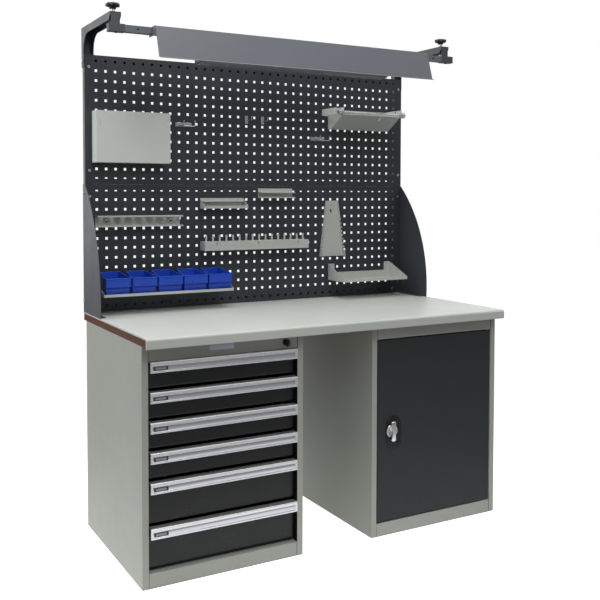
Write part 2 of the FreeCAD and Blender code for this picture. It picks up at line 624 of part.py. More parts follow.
def lamp_arm():
    """Bent channel, open towards the front and below, slotted along the top for the clamp screw."""
    bend_y, bend_z = ARM_LEG_FRONT - ARM_BEND, ARM_LOWER_EDGE - ARM_BEND
    diagonal = ARM_BEND * math.sqrt(0.5)
    points = [(ARM_LEG_FRONT, ARM_BOTTOM), (ARM_REAR, ARM_BOTTOM), (ARM_REAR, ARM_TOP), (ARM_FRONT, ARM_TOP),
              (ARM_FRONT, ARM_LOWER_EDGE + ARM_NOSE_CUT), (ARM_FRONT + ARM_NOSE_CUT, ARM_LOWER_EDGE),
              (bend_y, ARM_LOWER_EDGE)]
    corners = [Vec(ARM_INNER, y, z) for y, z in points]
    edges = [Part.LineSegment(a, b).toShape() for a, b in zip(corners, corners[1:])]
    bend_end = Vec(ARM_INNER, ARM_LEG_FRONT, bend_z)
    bend_middle = Vec(ARM_INNER, bend_y + diagonal, bend_z + diagonal)
    edges.append(Part.Arc(corners[-1], bend_middle, bend_end).toShape())
    edges.append(Part.LineSegment(bend_end, corners[0]).toShape())
    body = Part.Face(Part.Wire(edges)).extrude(Vec(ARM_OUTER - ARM_INNER, 0, 0))
    body = round_edges(body, 6, lambda e: runs_along_x(e, ARM_REAR, ARM_TOP))
    hollow = box(ARM_INNER + ARM_SHEET, ARM_OUTER - ARM_SHEET, ARM_FRONT - 10, ARM_REAR - ARM_SHEET,
                 ARM_BOTTOM - 10, ARM_TOP - ARM_SHEET)
    slot_half = SCREW_RADIUS + 1
    slot = box(FIXING_X - slot_half, FIXING_X + slot_half, KNOB_Y - slot_half,
               KNOB_Y + LAMP_TRAVEL + slot_half, ARM_TOP - 5, ARM_TOP + 1)
    side_hole = disc((ARM_OUTER - 5, 355, side_bolt_heights()[2]), (1, 0, 0), 3.2, 8)
    spare_hole = disc((ARM_OUTER - 5, 359, 1911), (1, 0, 0), 4, 8)
    return cut(body, [hollow, slot, side_hole, spare_hole])


def panel_screws():
    screws = []
    for x in (-FIXING_X, FIXING_X):
        for z in FIXING_Z:
            head = disc((x, PANEL_FRONT - 2.5, z), (0, 1, 0), 5.5, 2.5)
            shank = disc((x, PANEL_FRONT - 1, z), (0, 1, 0), 3, 12)
            screws.append(fuse([head, shank]))
    return screws


def frame_bolts():
    """Side bolts of the gussets and arms, and the screws that hold the worktop down from below."""
    bolts = []
    for z in side_bolt_heights():
        face = ARM_OUTER if z > GUSSET_TOP else UPRIGHT_OUTER + GUSSET
        head = disc((face, 355, z), (1, 0, 0), 6, 3)
        shank = disc((UPRIGHT_OUTER - 8, 355, z), (1, 0, 0), 3, face - UPRIGHT_OUTER + 9)
        bolt = fuse([head, shank])
        bolts += [bolt, mirrored(bolt)]
    for x, y in worktop_screw_places():
        head = disc((x, y, CABINET_HEIGHT - SHEET - 3), (0, 0, 1), 6, 3)
        shank = disc((x, y, CABINET_HEIGHT - SHEET - 1), (0, 0, 1), 3, 20)
        bolts.append(fuse([head, shank]))
    return bolts


# Lamp

def lamp_bar():
    bar = box(-BLOCK_SPAN[0], BLOCK_SPAN[0], BAR_FRONT, BAR_REAR, BAR_BOTTOM, BAR_TOP)
    bore = box(-BLOCK_SPAN[0] - 1, BLOCK_SPAN[0] + 1, BAR_FRONT + 2, BAR_REAR - 2, BAR_BOTTOM + 2, BAR_TOP - 2)
    holes = [disc((x, BAR_FRONT - 1, BAR_BOTTOM + BAR_SIZE / 2), (0, 1, 0), 3.5, 5) for x in (-655.0, 655.0)]
    return cut(bar, [bore] + holes)


def lamp_hanger():
    """End block of the bar with the upright plate and clamp flange that run inside the arm."""
    block = box(BLOCK_SPAN[0], BLOCK_SPAN[1], BAR_FRONT - BLOCK_MARGIN, BAR_REAR + BLOCK_MARGIN,
                BAR_BOTTOM - BLOCK_MARGIN, BAR_TOP + BLOCK_MARGIN)
    block = block.makeFillet(2.5, [e for e in block.Edges if abs(e.Vertexes[0].Point.x - e.Vertexes[1].Point.x) < 0.1
                                   and e.Vertexes[0].Point.x > BLOCK_SPAN[1] - 0.1])
    inner = ARM_INNER + ARM_SHEET + HANGER_PLAY
    outer = ARM_OUTER - ARM_SHEET - HANGER_PLAY
    under_arm = ARM_TOP - ARM_SHEET - HANGER_PLAY
    plate = box(inner, outer, ARM_FRONT, ARM_FRONT + 3, BAR_TOP, under_arm)
    flange = box(inner, outer, ARM_FRONT, ARM_FRONT + HANGER_REACH, under_arm - 3, under_arm)
    nut = box(FIXING_X - 8, FIXING_X + 8, KNOB_Y - 8, KNOB_Y + 8, under_arm - 11, under_arm - 2)
    bolt = disc((FIXING_X, (BAR_FRONT + BAR_REAR) / 2, BAR_BOTTOM - BLOCK_MARGIN - 3), (0, 0, 1), 5, 4)
    thread = disc((FIXING_X, KNOB_Y, under_arm - 20), (0, 0, 1), SCREW_RADIUS + RUNNING_PLAY, 30)
    return fuse([block, plate, flange, nut, bolt]).cut(thread)


def clamp_knob():
    """Lobed hand knob on a collared screw."""
    head = disc((FIXING_X, KNOB_Y, KNOB_BASE), (0, 0, 1), KNOB_RADIUS, KNOB_TOP - KNOB_BASE)
    notches = []
    for lobe in range(KNOB_LOBES):
        angle = 2 * math.pi * lobe / KNOB_LOBES
        reach = KNOB_RADIUS + 4
        centre = (FIXING_X + reach * math.cos(angle), KNOB_Y + reach * math.sin(angle), KNOB_BASE - 1)
        notches.append(disc(centre, (0, 0, 1), 7.5, KNOB_TOP - KNOB_BASE + 2))
    head = cut(head, notches)
    dome = Part.makeSphere(60, Vec(FIXING_X, KNOB_Y, KNOB_TOP - 60))
    head = head.common(dome)
    collar = disc((FIXING_X, KNOB_Y, ARM_TOP + 0.3), (0, 0, 1), 9, KNOB_BASE - ARM_TOP)
    screw = disc((FIXING_X, KNOB_Y, 1902), (0, 0, 1), SCREW_RADIUS, ARM_TOP - 1900)
    return fuse([head, collar, screw])


def lamp_shade():
    """Folded sheet: a flange on the bar, the sloping front and a forward lip, with an end bracket each side."""
    half = SHADE_LENGTH / 2
    t = SHADE_SHEET
    bottom_y, bottom_z = SHADE_BOTTOM
    lip_y, lip_z = SHADE_LIP
    outline = [(BAR_REAR, BAR_TOP), (BAR_REAR, BAR_TOP + t), (SHADE_TOP_Y, BAR_TOP + t),
               (bottom_y - t, bottom_z), (lip_y, lip_z), (lip_y, lip_z - t), (bottom_y, bottom_z - t),
               (SHADE_TOP_Y + t, BAR_TOP)]
    sheet = prism_x(outline, -half, half)
    bracket_outline = [(-52, BAR_TOP + 2), (-15, BAR_TOP + 2), (BAR_REAR + 8, BAR_TOP - 12),
                       (BAR_REAR + 8, BAR_BOTTOM - 6), (-58, BAR_BOTTOM - 6)]
    plate = prism_x(bracket_outline, half, half + 2)
    window = box(half - 1, half + 3, BAR_FRONT - 0.2, BAR_REAR + 0.2, BAR_BOTTOM - 0.2, BAR_TOP + 0.2)
    bracket = plate.cut(window)
    return fuse([sheet, bracket, mirrored(bracket)])


def lamp_body():
    half = LIGHT_LENGTH / 2
    base = LIGHT_BOTTOM + DIFFUSER_HEIGHT
    outline = [(-40, base), (38, base), (38, base + 12), (16, BAR_BOTTOM - 8), (16, BAR_BOTTOM),
               (-22, BAR_BOTTOM), (-22, BAR_BOTTOM - 8), (-40, base + 12)]
    housing = prism_x(outline, -half, half)
    gland = disc((half, 0, base + 34), (1, 0, 0), 8, 14)
    return fuse([housing, gland])


def lamp_diffuser():
    half = LIGHT_LENGTH / 2
    base = LIGHT_BOTTOM + DIFFUSER_HEIGHT
    outline = [(-36, base), (-30, LIGHT_BOTTOM), (28, LIGHT_BOTTOM), (34, base)]
    return prism_x(outline, -half + 8, half - 8)


# Racks and shelves on the panel

def hole_column(x):
    """Nearest column of panel holes."""
    first = -(HOLE_COLUMNS - 1) / 2 * HOLE_PITCH
    return first + round((x - first) / HOLE_PITCH) * HOLE_PITCH


def hole_row(z):
    """Nearest row of panel holes, in whichever panel the height falls."""
    bottom = WORKTOP_TOP if z < WORKTOP_TOP + PANEL_HEIGHT else WORKTOP_TOP + PANEL_HEIGHT
    first = bottom + HOLE_EDGE
    row = min(max(round((z - first) / HOLE_PITCH), 0), HOLE_ROWS - 1)
    return first + row * HOLE_PITCH


def hang_tabs(places):
    """Hooked tabs through the panel holes nearest to the given places."""
    tabs = []
    for x, z in places:
        column, row = hole_column(x), hole_row(z)
        tabs.append(box(column - 3.5, column + 3.5, PANEL_FRONT - 1, PANEL_REAR + 4, row - 3, row + 3))
        tabs.append(box(column - 3.5, column + 3.5, PANEL_REAR + 1.5, PANEL_REAR + 4, row - 12, row + 3))
    return tabs


def document_pocket():
    left, right = POCKET_SPAN
    low, high = POCKET_HEIGHTS
    front = PANEL_FRONT - POCKET_DEPTH
    bin_outer = box(left, right, front, PANEL_FRONT, low, high)
    inside = box(left + SHEET, right - SHEET, front + SHEET, PANEL_FRONT - SHEET, low + SHEET, high + 1)
    slots = [box(x - 3, x + 3, front - 1, front + SHEET + 1, high - 56, high - 38) for x in (left + 15, right - 14)]
    shell = cut(bin_outer, [inside] + slots)
    return fuse([shell] + hang_tabs([(left + 35, high - 25), (right - 35, high - 25)]))


def roll_holder():
    """Trough with a sloping front between two cheeks that carry the roll rod, and a flat arm beside it."""
    left, right = ROLL_TROUGH_SPAN
    rod_y, rod_z = ROLL_ROD_PLACE
    base = ROLL_TROUGH_BASE
    front, fold, top = 222.0, 311.5, 1643.0
    sheet = 1.5
    trough = [(PANEL_FRONT, 1676), (PANEL_FRONT, base), (fold, base), (front, top), (front, top + 3),
              (front + sheet, top + 3), (front + sheet, top + 1), (fold + 0.5, base + sheet),
              (PANEL_FRONT - sheet, base + sheet), (PANEL_FRONT - sheet, 1676)]
    cheek = [(PANEL_FRONT, 1676), (PANEL_FRONT, base), (fold, base), (front, top), (rod_y - 12, top + 3),
             (rod_y - 12, 1676)]
    slot = box(553, 559, front - 2, front + 38, top - 14, top - 2)
    pieces = [prism_x(trough, left, right).cut(slot)]
    for x in (left, right - sheet):
        pieces.append(prism_x(cheek, x, x + sheet))
    arm = box(ROLL_ARM_X, ROLL_ARM_X + 2, rod_y, PANEL_FRONT, 1646, 1675)
    strip = box(ROLL_ARM_X, left + sheet, PANEL_FRONT - sheet, PANEL_FRONT, 1646, 1675)
    pieces += [arm, strip]
    pieces += hang_tabs([(left + 30, 1661), (right - 25, 1661)])
    rod_holes = [disc((x, rod_y, rod_z), (1, 0, 0), ROLL_ROD_RADIUS + RUNNING_PLAY, 5)
                 for x in (left - 2, right - 3)]
    spare_hole = disc((right - 4, 252, 1668), (1, 0, 0), 4, 6)
    return cut(fuse(pieces), rod_holes + [spare_hole])


def roll_rod():
    """Rod through both cheeks with a collar at the left and an end cap at the right."""
    left, right = ROLL_TROUGH_SPAN
    y, z = ROLL_ROD_PLACE
    rod = disc((left - 20, y, z), (1, 0, 0), ROLL_ROD_RADIUS, right - left + 24)
    cap = disc((right + 2, y, z), (1, 0, 0), 14, 18)
    collar = disc((left - 20, y, z), (1, 0, 0), 9, 17)
    return fuse([rod, cap, collar])


def channel_rack(span, heights, depth, lip):
    """Rack of C section: back plate, top and bottom ledges and short front lips."""
    left, right = span
    low, high = heights
    front = PANEL_FRONT - depth
    pieces = [
        box(left, right, PANEL_FRONT - SHEET, PANEL_FRONT, low, high),
        box(left, right, front, PANEL_FRONT, high - SHEET, high),
        box(left, right, front, PANEL_FRONT, low, low + SHEET),
        box(left, right, front, front + SHEET, high - lip, high),
        box(left, right, front, front + SHEET, low, low + lip),
    ]
    return fuse(pieces)


def tool_rack():
    left, right = TOOL_RACK_SPAN
    low, high = TOOL_RACK_HEIGHTS
    rack = channel_rack(TOOL_RACK_SPAN, TOOL_RACK_HEIGHTS, TOOL_RACK_DEPTH, 6)
    pitch = (right - left) / TOOL_RACK_SLOTS
    holes = []
    for slot in range(TOOL_RACK_SLOTS):
        x = left + (slot + 0.5) * pitch
        holes.append(box(x - 8, x + 8, PANEL_FRONT - 32, PANEL_FRONT - 10, low - 1, high + 1))
    for x in (hole_column(-663), hole_column(-397)):
        holes.append(box(x - 4, x + 4, PANEL_FRONT - 3, PANEL_FRONT + 1, high - 25, high - 17))
    return fuse([cut(rack, holes)] + hang_tabs([(left + 90, high - 20), (right - 90, high - 20)]))


def drill_rack():
    """Shallow tray with a drilled upper ledge and triangular cheeks."""
    left, right = DRILL_RACK_SPAN
    low, high = DRILL_RACK_HEIGHTS
    front = PANEL_FRONT - DRILL_RACK_DEPTH
    pieces = [
        box(left, right, PANEL_FRONT - SHEET, PANEL_FRONT, low, high),
        box(left, right, front, PANEL_FRONT, low, low + SHEET),
        box(left, right, front, front + SHEET, low, low + 11),
        box(left, right, front + 22, PANEL_FRONT, high - 15, high - 15 + SHEET),
    ]
    cheek = [(PANEL_FRONT, low), (PANEL_FRONT, high), (front, low + 11), (front, low)]
    for x in (left, right - SHEET):
        pieces.append(prism_x(cheek, x, x + SHEET))
    holes = []
    for place in range(13):
        x = left + 14 + place * 14.2
        radius = 2.0 + 0.25 * place
        holes.append(disc((x, PANEL_FRONT - 14, high - 20), (0, 0, 1), radius, 10))
    return fuse([cut(fuse(pieces), holes)] + hang_tabs([(left + 40, high - 10), (right - 40, high - 10)]))


def hex_key_rack():
    left, right = HEX_RACK_SPAN
    low, high = HEX_RACK_HEIGHTS
    rack = channel_rack(HEX_RACK_SPAN, (low, low + 26), HEX_RACK_DEPTH, 5)
    back = box(left, right, PANEL_FRONT - SHEET, PANEL_FRONT, low, high)
    holes = []
    for place in range(10):
        x = left + 14 + place * 15.5
        radius = 2.0 + 0.35 * place
        holes.append(disc((x, PANEL_FRONT - 17, low - 1), (0, 0, 1), radius, 40))
    return fuse([cut(fuse([rack, back]), holes)] + hang_tabs([(left + 40, high - 4), (right - 40, high - 4)]))


def socket_rack():
    """Closed-front channel with a row of upright pins."""
    left, right = SOCKET_RACK_SPAN
    low, high = SOCKET_RACK_HEIGHTS
    front = PANEL_FRONT - SOCKET_RACK_DEPTH
    shell = box(left, right, front, PANEL_FRONT, low, high).cut(
        box(left + SHEET, right - SHEET, front + SHEET, PANEL_FRONT - SHEET, low - 1, high - SHEET))
    windows = [box(x - 3.5, x + 3.5, front - 1, front + SHEET + 1, high - 13, high - 6) for x in (-217.0, -26.0, 165.0)]
    body = fuse([cut(shell, windows)] + hang_tabs([(left + 60, high - 15), (right - 60, high - 15)]))
    pins = []
    pitch = (right - left - 30) / (SOCKET_PINS - 1)
    for place in range(SOCKET_PINS):
        pins.append(disc((left + 15 + place * pitch, front + 26, high), (0, 0, 1), 4, 26))
    return [body] + pins


def wrench_holder():
    """Back plate widening downwards, with notched cheeks along its slanted sides for wrenches laid across."""
    low, high = WRENCH_HEIGHTS
    low_half, high_half = WRENCH_HALF_WIDTHS
    low_depth, high_depth = WRENCH_CHEEK_DEPTHS
    back = prism_y([(WRENCH_X - high_half, high), (WRENCH_X - low_half, low), (WRENCH_X + low_half, low),
                    (WRENCH_X + high_half, high)], PANEL_FRONT - SHEET, PANEL_FRONT)
    pieces = [back]
    depth_band = prism_x([(PANEL_FRONT, high), (PANEL_FRONT - high_depth, high), (PANEL_FRONT - low_depth, low),
                          (PANEL_FRONT, low)], WRENCH_X - 90, WRENCH_X + 90)
    notch_top = high - 93
    pitch = 17.5
    for side in (-1, 1):
        outline = [(WRENCH_X + side * high_half, high), (WRENCH_X + side * (high_half - SHEET), high),
                   (WRENCH_X + side * (low_half - SHEET), low), (WRENCH_X + side * low_half, low)]
        cheek = prism_y(outline, PANEL_FRONT - low_depth, PANEL_FRONT).common(depth_band)
        notches = []
        for place in range(WRENCH_NOTCHES):
            z = notch_top - place * pitch
            notches.append(box(WRENCH_X - 90, WRENCH_X + 90, PANEL_FRONT - 30, PANEL_FRONT - 5, z - 4, z + 4))
        pieces.append(cut(cheek, notches))
    hem = PANEL_FRONT - 6
    pieces.append(box(WRENCH_X - low_half, WRENCH_X + low_half, hem, PANEL_FRONT, low, low + SHEET))
    pieces.append(box(WRENCH_X - low_half, WRENCH_X + low_half, hem, hem + SHEET, low, low + 8))
    window = box(WRENCH_X - 8, WRENCH_X, PANEL_FRONT - 3, PANEL_FRONT + 1, 1217, 1231)
    nail_hole = disc((WRENCH_X - 4, PANEL_FRONT - 3, 1250), (0, 1, 0), 2.5, 5)
    holder = cut(fuse(pieces), [window, nail_hole])
    return fuse([holder] + hang_tabs([(WRENCH_X - 10, 1240), (WRENCH_X - 10, 1047)]))


def shelf(span, base, lip):
    """Shelf tray: back plate with a raised tab at each end, triangular cheeks and a front lip."""
    left, right = span
    front = PANEL_FRONT - SHELF_DEPTH
    tab_width, tab_height = SHELF_TAB
    pieces = [
        box(left, right, front, PANEL_FRONT, base, base + SHEET),
        box(left, right, front, front + SHEET, base, base + lip),
        box(left, right, PANEL_FRONT - SHEET, PANEL_FRONT, base, base + SHELF_BACK),
    ]
    cheek = [(PANEL_FRONT, base), (PANEL_FRONT, base + tab_height), (front, base + lip), (front, base)]
    for x in (left, right - SHEET):
        pieces.append(prism_x(cheek, x, x + SHEET))
    for x in (left, right - tab_width):
        pieces.append(box(x, x + tab_width, PANEL_FRONT - SHEET, PANEL_FRONT, base, base + tab_height))
    tabs = hang_tabs([(left + 14, base + 55), (right - 14, base + 55)])
    return fuse(pieces + tabs)


def storage_bin(centre, base):
    """Open bin, wider in front, with a low front rim over a set-back foot."""
    front_half, rear_half = BIN_FRONT_WIDTH / 2, BIN_REAR_WIDTH / 2

    def block(margin, floor):
        plan = [(centre - front_half + margin, BIN_FRONT - 5), (centre + front_half - margin, BIN_FRONT - 5),
                (centre + rear_half - margin, BIN_REAR), (centre - rear_half + margin, BIN_REAR)]
        side = [(BIN_FRONT + margin, base + 69), (BIN_FRONT + margin, base + 36), (BIN_FRONT + 12 + margin, base + 30),
                (BIN_FRONT + 12 + margin, base + floor), (BIN_REAR - margin, base + floor),
                (BIN_REAR - margin, base + 85), (BIN_FRONT + 60, base + 85)]
        return prism_z(plan, base, base + 120).common(prism_x(side, centre - 80, centre + 80))

    outer = block(0, 0)
    inner = block(BIN_WALL, BIN_WALL)
    above = inner.copy()
    above.translate(Vec(0, 0, 20))
    rim_band = prism_x([(BIN_FRONT - 1.2, base + 64), (BIN_FRONT + 0.5, base + 64), (BIN_FRONT + 0.5, base + 69),
                        (BIN_FRONT - 1.2, base + 69)], centre - front_half + 1, centre + front_half - 1)
    return fuse([outer.cut(inner), rim_band])


def wire_path(points):
    """Round wire along straight runs, with a ball at each corner."""
    pieces = []
    for start, end in zip(points, points[1:]):
        way = Vec(*end) - Vec(*start)
        pieces.append(Part.makeCylinder(HOOK_WIRE, way.Length, Vec(*start), way))
    for corner in points[1:]:
        pieces.append(Part.makeSphere(HOOK_WIRE, Vec(*corner)))
    return pieces


def double_hook(x, z):
    """Narrow plate with a wire bent out to the front on each side and a bar across the upturned tips."""
    row = hole_row(z)
    plate = box(x - 35, x + 35, PANEL_FRONT - 2, PANEL_FRONT, row - 12, row + 4)
    reach = PANEL_FRONT - 62
    level = row - 8
    pieces = [plate]
    for side in (-1, 1):
        wire_x = x + side * DOUBLE_HOOK_HALF_WIDTH
        pieces += wire_path([(wire_x, PANEL_FRONT - 1, level), (wire_x, reach, level - 6),
                             (wire_x, reach - 6, level + 14)])
    bar_ends = [(x + side * DOUBLE_HOOK_HALF_WIDTH, reach, level - 6) for side in (-1, 1)]
    pieces += wire_path(bar_ends)
    return fuse(pieces + hang_tabs([(x - 19, row), (x + 19, row)]))


def single_hook(x, z):
    """Small upright plate with one wire out to the front and an upturned tip."""
    column, row = hole_column(x), hole_row(z)
    plate = box(column - 7, column + 7, PANEL_FRONT - 2, PANEL_FRONT, row - 26, row + 6)
    reach = PANEL_FRONT - 50
    level = row - 14
    wire = wire_path([(column, PANEL_FRONT - 1, level), (column, reach, level), (column, reach - 4, level + 13)])
    return fuse([plate] + wire + hang_tabs([(column, row)]))


def hooks():
    return [double_hook(x, z) for x, z in DOUBLE_HOOKS] + [single_hook(x, z) for x, z in SINGLE_HOOKS]


def main():
    os.makedirs("parts", exist_ok=True)
    save("worktop_core", [worktop_core()])
    save("worktop_skin", [worktop_skin()])
    save("left_cabinet", [left_cabinet()])
    save("right_cabinet", [carcass(RIGHT_CABINET_X)])
    save("drawer_runners", drawer_runners())
    for number, (top, pitch) in enumerate(zip(drawer_tops(), DRAWER_PITCHES), start=1):
        save("drawer_%d_box" % number, drawer_box(top, pitch))
        save("drawer_%d_rail" % number, [grip_rail(top)])
    save("lock_barrel", [lock_barrel()])
    save("lock_key", [lock_key()])
    save("door_panel", [door_panel()])
    save("door_pivots", door_pivots())
    save("latch_housing", [latch_housing()])
    save("latch_handle", [latch_handle()])
    save("latch_cam", [latch_cam()])
    save("lock_core", [lock_core()])
    save("cabinet_shelf", [cabinet_shelf()])
    save("shelf_pegs", shelf_pegs())
    save("lower_panel", [perforated_panel(WORKTOP_TOP, OUTER_LIP, JOINT_LIP)])
    save("upper_panel", [perforated_panel(WORKTOP_TOP + PANEL_HEIGHT, JOINT_LIP, OUTER_LIP)])
    for name, piece in (("upright", upright()), ("gusset", gusset()), ("arm", lamp_arm()),
                        ("knob", clamp_knob())):
        save("right_" + name, [piece])
        save("left_" + name, [mirrored(piece)])
    save("panel_screws", panel_screws())
    save("frame_bolts", frame_bolts())
    save("lamp_bar", [lamp_bar()])
    hanger = lamp_hanger()
    save("lamp_hangers", [hanger, mirrored(hanger)])
    save("lamp_shade", [lamp_shade()])
    save("lamp_body", [lamp_body()])
    save("lamp_diffuser", [lamp_diffuser()])
    save("document_pocket", [document_pocket()])
    save("roll_holder", [roll_holder()])
    save("roll_rod", [roll_rod()])
    save("tool_rack", [tool_rack()])
    save("drill_rack", [drill_rack()])
    save("hex_key_rack", [hex_key_rack()])
    save("socket_rack", socket_rack())
    save("wrench_holder", [wrench_holder()])
    save("left_shelf", [shelf(LEFT_SHELF_SPAN, LEFT_SHELF_BASE, SHELF_LIP - 1.5)])
    save("right_shelf", [shelf(RIGHT_SHELF_SPAN, RIGHT_SHELF_BASE, SHELF_LIP + 1)])
    for number in range(BIN_COUNT):
        centre = BIN_FIRST_CENTRE + number * BIN_PITCH
        save("bin_%d" % (number + 1), [storage_bin(centre, LEFT_SHELF_BASE + SHEET)])
    save("hooks", hooks())


main()
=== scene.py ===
"""Looks of the workbench: materials, small detail pieces, studio and camera.

The frame is the CAD's, in metres. Detail pieces are given in millimetres and scaled when they are made.
"""
import math
import bmesh
import bpy
from mathutils import Matrix, Vector


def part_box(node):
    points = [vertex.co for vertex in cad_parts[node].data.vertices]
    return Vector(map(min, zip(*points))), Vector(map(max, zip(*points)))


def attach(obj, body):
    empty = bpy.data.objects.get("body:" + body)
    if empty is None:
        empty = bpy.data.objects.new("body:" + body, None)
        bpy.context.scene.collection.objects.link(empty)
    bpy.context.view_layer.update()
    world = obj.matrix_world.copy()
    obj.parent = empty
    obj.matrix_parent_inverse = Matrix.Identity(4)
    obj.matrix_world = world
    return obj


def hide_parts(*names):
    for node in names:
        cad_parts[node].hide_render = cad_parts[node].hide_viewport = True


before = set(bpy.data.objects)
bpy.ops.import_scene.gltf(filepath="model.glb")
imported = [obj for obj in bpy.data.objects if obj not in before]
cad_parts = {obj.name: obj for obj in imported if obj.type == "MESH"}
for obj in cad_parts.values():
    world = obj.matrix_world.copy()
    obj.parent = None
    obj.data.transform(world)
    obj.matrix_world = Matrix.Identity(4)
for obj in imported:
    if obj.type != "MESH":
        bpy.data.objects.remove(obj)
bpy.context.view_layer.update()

MM = 0.001
DRAWERS = range(1, 7)
BINS = range(1, 6)


# Node helpers

def linear(red, green, blue):
    """Colour as it looks on a screen, 0 to 255, turned into shader values."""
    def channel(value):
        value = value / 255
        return value / 12.92 if value <= 0.04045 else ((value + 0.055) / 1.055) ** 2.4
    return (channel(red), channel(green), channel(blue), 1.0)


def scaled(colour, factor):
    return tuple(min(1.0, value * factor) for value in colour[:3]) + (1.0,)


def lightened(colour, amount):
    return tuple(min(1.0, value + amount) for value in colour[:3]) + (1.0,)


class NodeTree:
    """Short ways to add linked nodes to a material or a world."""

    def __init__(self, owner):
        owner.use_nodes = True
        self.nodes = owner.node_tree.nodes
        self.links = owner.node_tree.links

    def add(self, kind):
        return self.nodes.new("ShaderNode" + kind)

    def link(self, source, target):
        self.links.new(source, target)

    def feed(self, value, socket):
        """Gives a socket a plain value, or links another node's output to it."""
        if isinstance(value, (int, float, tuple)):
            socket.default_value = value
        else:
            self.link(value, socket)

    def span(self, value, low, high, to_low, to_high):
        """Value taken from the range low to high into the range to_low to to_high."""
        node = self.add("MapRange")
        limits = (("From Min", low), ("From Max", high), ("To Min", to_low), ("To Max", to_high))
        for socket, number in limits:
            node.inputs[socket].default_value = number
        self.link(value, node.inputs["Value"])
        return node.outputs["Result"]

    def compute(self, operation, first, second):
        node = self.add("Math")
        node.operation = operation
        self.feed(first, node.inputs[0])
        self.feed(second, node.inputs[1])
        return node.outputs["Value"]

    def blend(self, factor, first, second):
        """Number between first and second; a Mix node has its numbers in sockets 2 and 3."""
        node = self.add("Mix")
        self.link(factor, node.inputs["Factor"])
        self.feed(first, node.inputs[2])
        self.feed(second, node.inputs[3])
        return node.outputs[0]


class Maker(NodeTree):
    """One node material; the coordinates are the object's own, so that scales are in metres."""

    def __init__(self, name):
        self.material = bpy.data.materials.new(name)
        super().__init__(self.material)
        self.shader = self.nodes["Principled BSDF"]
        self.coords = self.add("TexCoord").outputs["Object"]

    def stretched(self, scale):
        mapping = self.add("Mapping")
        mapping.inputs["Scale"].default_value = scale
        self.link(self.coords, mapping.inputs["Vector"])
        return mapping.outputs["Vector"]

    def noise(self, scale, detail=2.0, vector=None):
        node = self.add("TexNoise")
        node.inputs["Scale"].default_value = scale
        node.inputs["Detail"].default_value = detail
        self.link(vector if vector is not None else self.coords, node.inputs["Vector"])
        return node.outputs["Fac"]

    def ramp(self, value, stops):
        node = self.add("ValToRGB")
        ramp = node.color_ramp
        while len(ramp.elements) < len(stops):
            ramp.elements.new(0.5)
        for element, (place, colour) in zip(ramp.elements, stops):
            element.position = place
            element.color = colour
        self.link(value, node.inputs["Fac"])
        return node.outputs["Color"]

    def mix(self, factor, first, second):
        """Colour between first and second; a Mix node has its colours in sockets 6 and 7."""
        node = self.add("Mix")
        node.data_type = "RGBA"
        self.link(factor, node.inputs["Factor"])
        self.feed(first, node.inputs[6])
        self.feed(second, node.inputs[7])
        return node.outputs[2]

    def bevel(self, radius):
        node = self.add("Bevel")
        node.samples = 4
        node.inputs["Radius"].default_value = radius
        return node.outputs["Normal"]

    def edge_mask(self, bevel_normal):
        """Near 1 on sharp edges and 0 on flat faces."""
        geometry = self.add("NewGeometry")
        dot = self.add("VectorMath")
        dot.operation = "DOT_PRODUCT"
        self.link(bevel_normal, dot.inputs[0])
        self.link(geometry.outputs["Normal"], dot.inputs[1])
        return self.span(dot.outputs["Value"], 0.97, 0.8, 0.0, 1.0)

    def bump(self, height, strength, distance, normal=None):
        node = self.add("Bump")
        node.inputs["Strength"].default_value = strength
        node.inputs["Distance"].default_value = distance
        self.link(height, node.inputs["Height"])
        if normal is not None:
            self.link(normal, node.inputs["Normal"])
        self.link(node.outputs["Normal"], self.shader.inputs["Normal"])

    def colour(self, source):
        self.link(source, self.shader.inputs["Base Color"])

    def roughness(self, source, value_low, value_high, low, high):
        """Roughness from low to high as the source goes from value_low to value_high."""
        self.link(self.span(source, value_low, value_high, low, high), self.shader.inputs["Roughness"])

    def set(self, **values):
        for name, value in values.items():
            self.shader.inputs[name.replace("_", " ")].default_value = value


# Kinds of material

COAT_EDGE = 0.0009
METAL_EDGE = 0.0006
PLASTIC_EDGE = 0.0007
RUBBED_LIGHTER = 0.25
LINE_LENGTH_SCALE = 9.0


def powder_coat(name, colour, roughness=0.5, grain=700.0, wear=0.12, gloss=0.35):
    """Powder-coated sheet: fine orange peel, faint cloudiness and lighter rubbed edges."""
    make = Maker(name)
    cloud = make.ramp(make.noise(2.2, 4.0), [(0.3, scaled(colour, 0.96)), (0.7, scaled(colour, 1.04))])
    soft_normal = make.bevel(COAT_EDGE)
    rub = make.span(make.noise(40.0, 3.0), 0.35, 0.75, 0.2, 1.0)
    rubbed = make.compute("MULTIPLY", make.edge_mask(soft_normal), rub)
    weight = make.span(rubbed, 0.0, 1.0, 0.0, wear)
    make.colour(make.mix(weight, cloud, lightened(colour, RUBBED_LIGHTER)))
    make.roughness(make.noise(14.0, 3.0), 0.3, 0.7, roughness - 0.05, roughness + 0.06)
    make.bump(make.noise(grain, 1.5), 0.12, 0.0004, soft_normal)
    make.set(Specular_IOR_Level=gloss)
    return make.material


def brushed_metal(name, colour, roughness, direction, depth=0.12, metallic=1.0):
    """Metal with fine lines along one axis; an anodised one is a little less metallic."""
    make = Maker(name)
    scale = [1500.0, 1500.0, 1500.0]
    scale["xyz".index(direction)] = LINE_LENGTH_SCALE
    lines = make.noise(1.0, 3.0, make.stretched(scale))
    make.colour(make.ramp(lines, [(0.3, scaled(colour, 0.9)), (0.7, scaled(colour, 1.06))]))
    make.roughness(lines, 0.3, 0.7, roughness * 0.85, roughness * 1.2)
    make.bump(lines, depth, 0.0001, make.bevel(METAL_EDGE))
    make.set(Metallic=metallic)
    return make.material


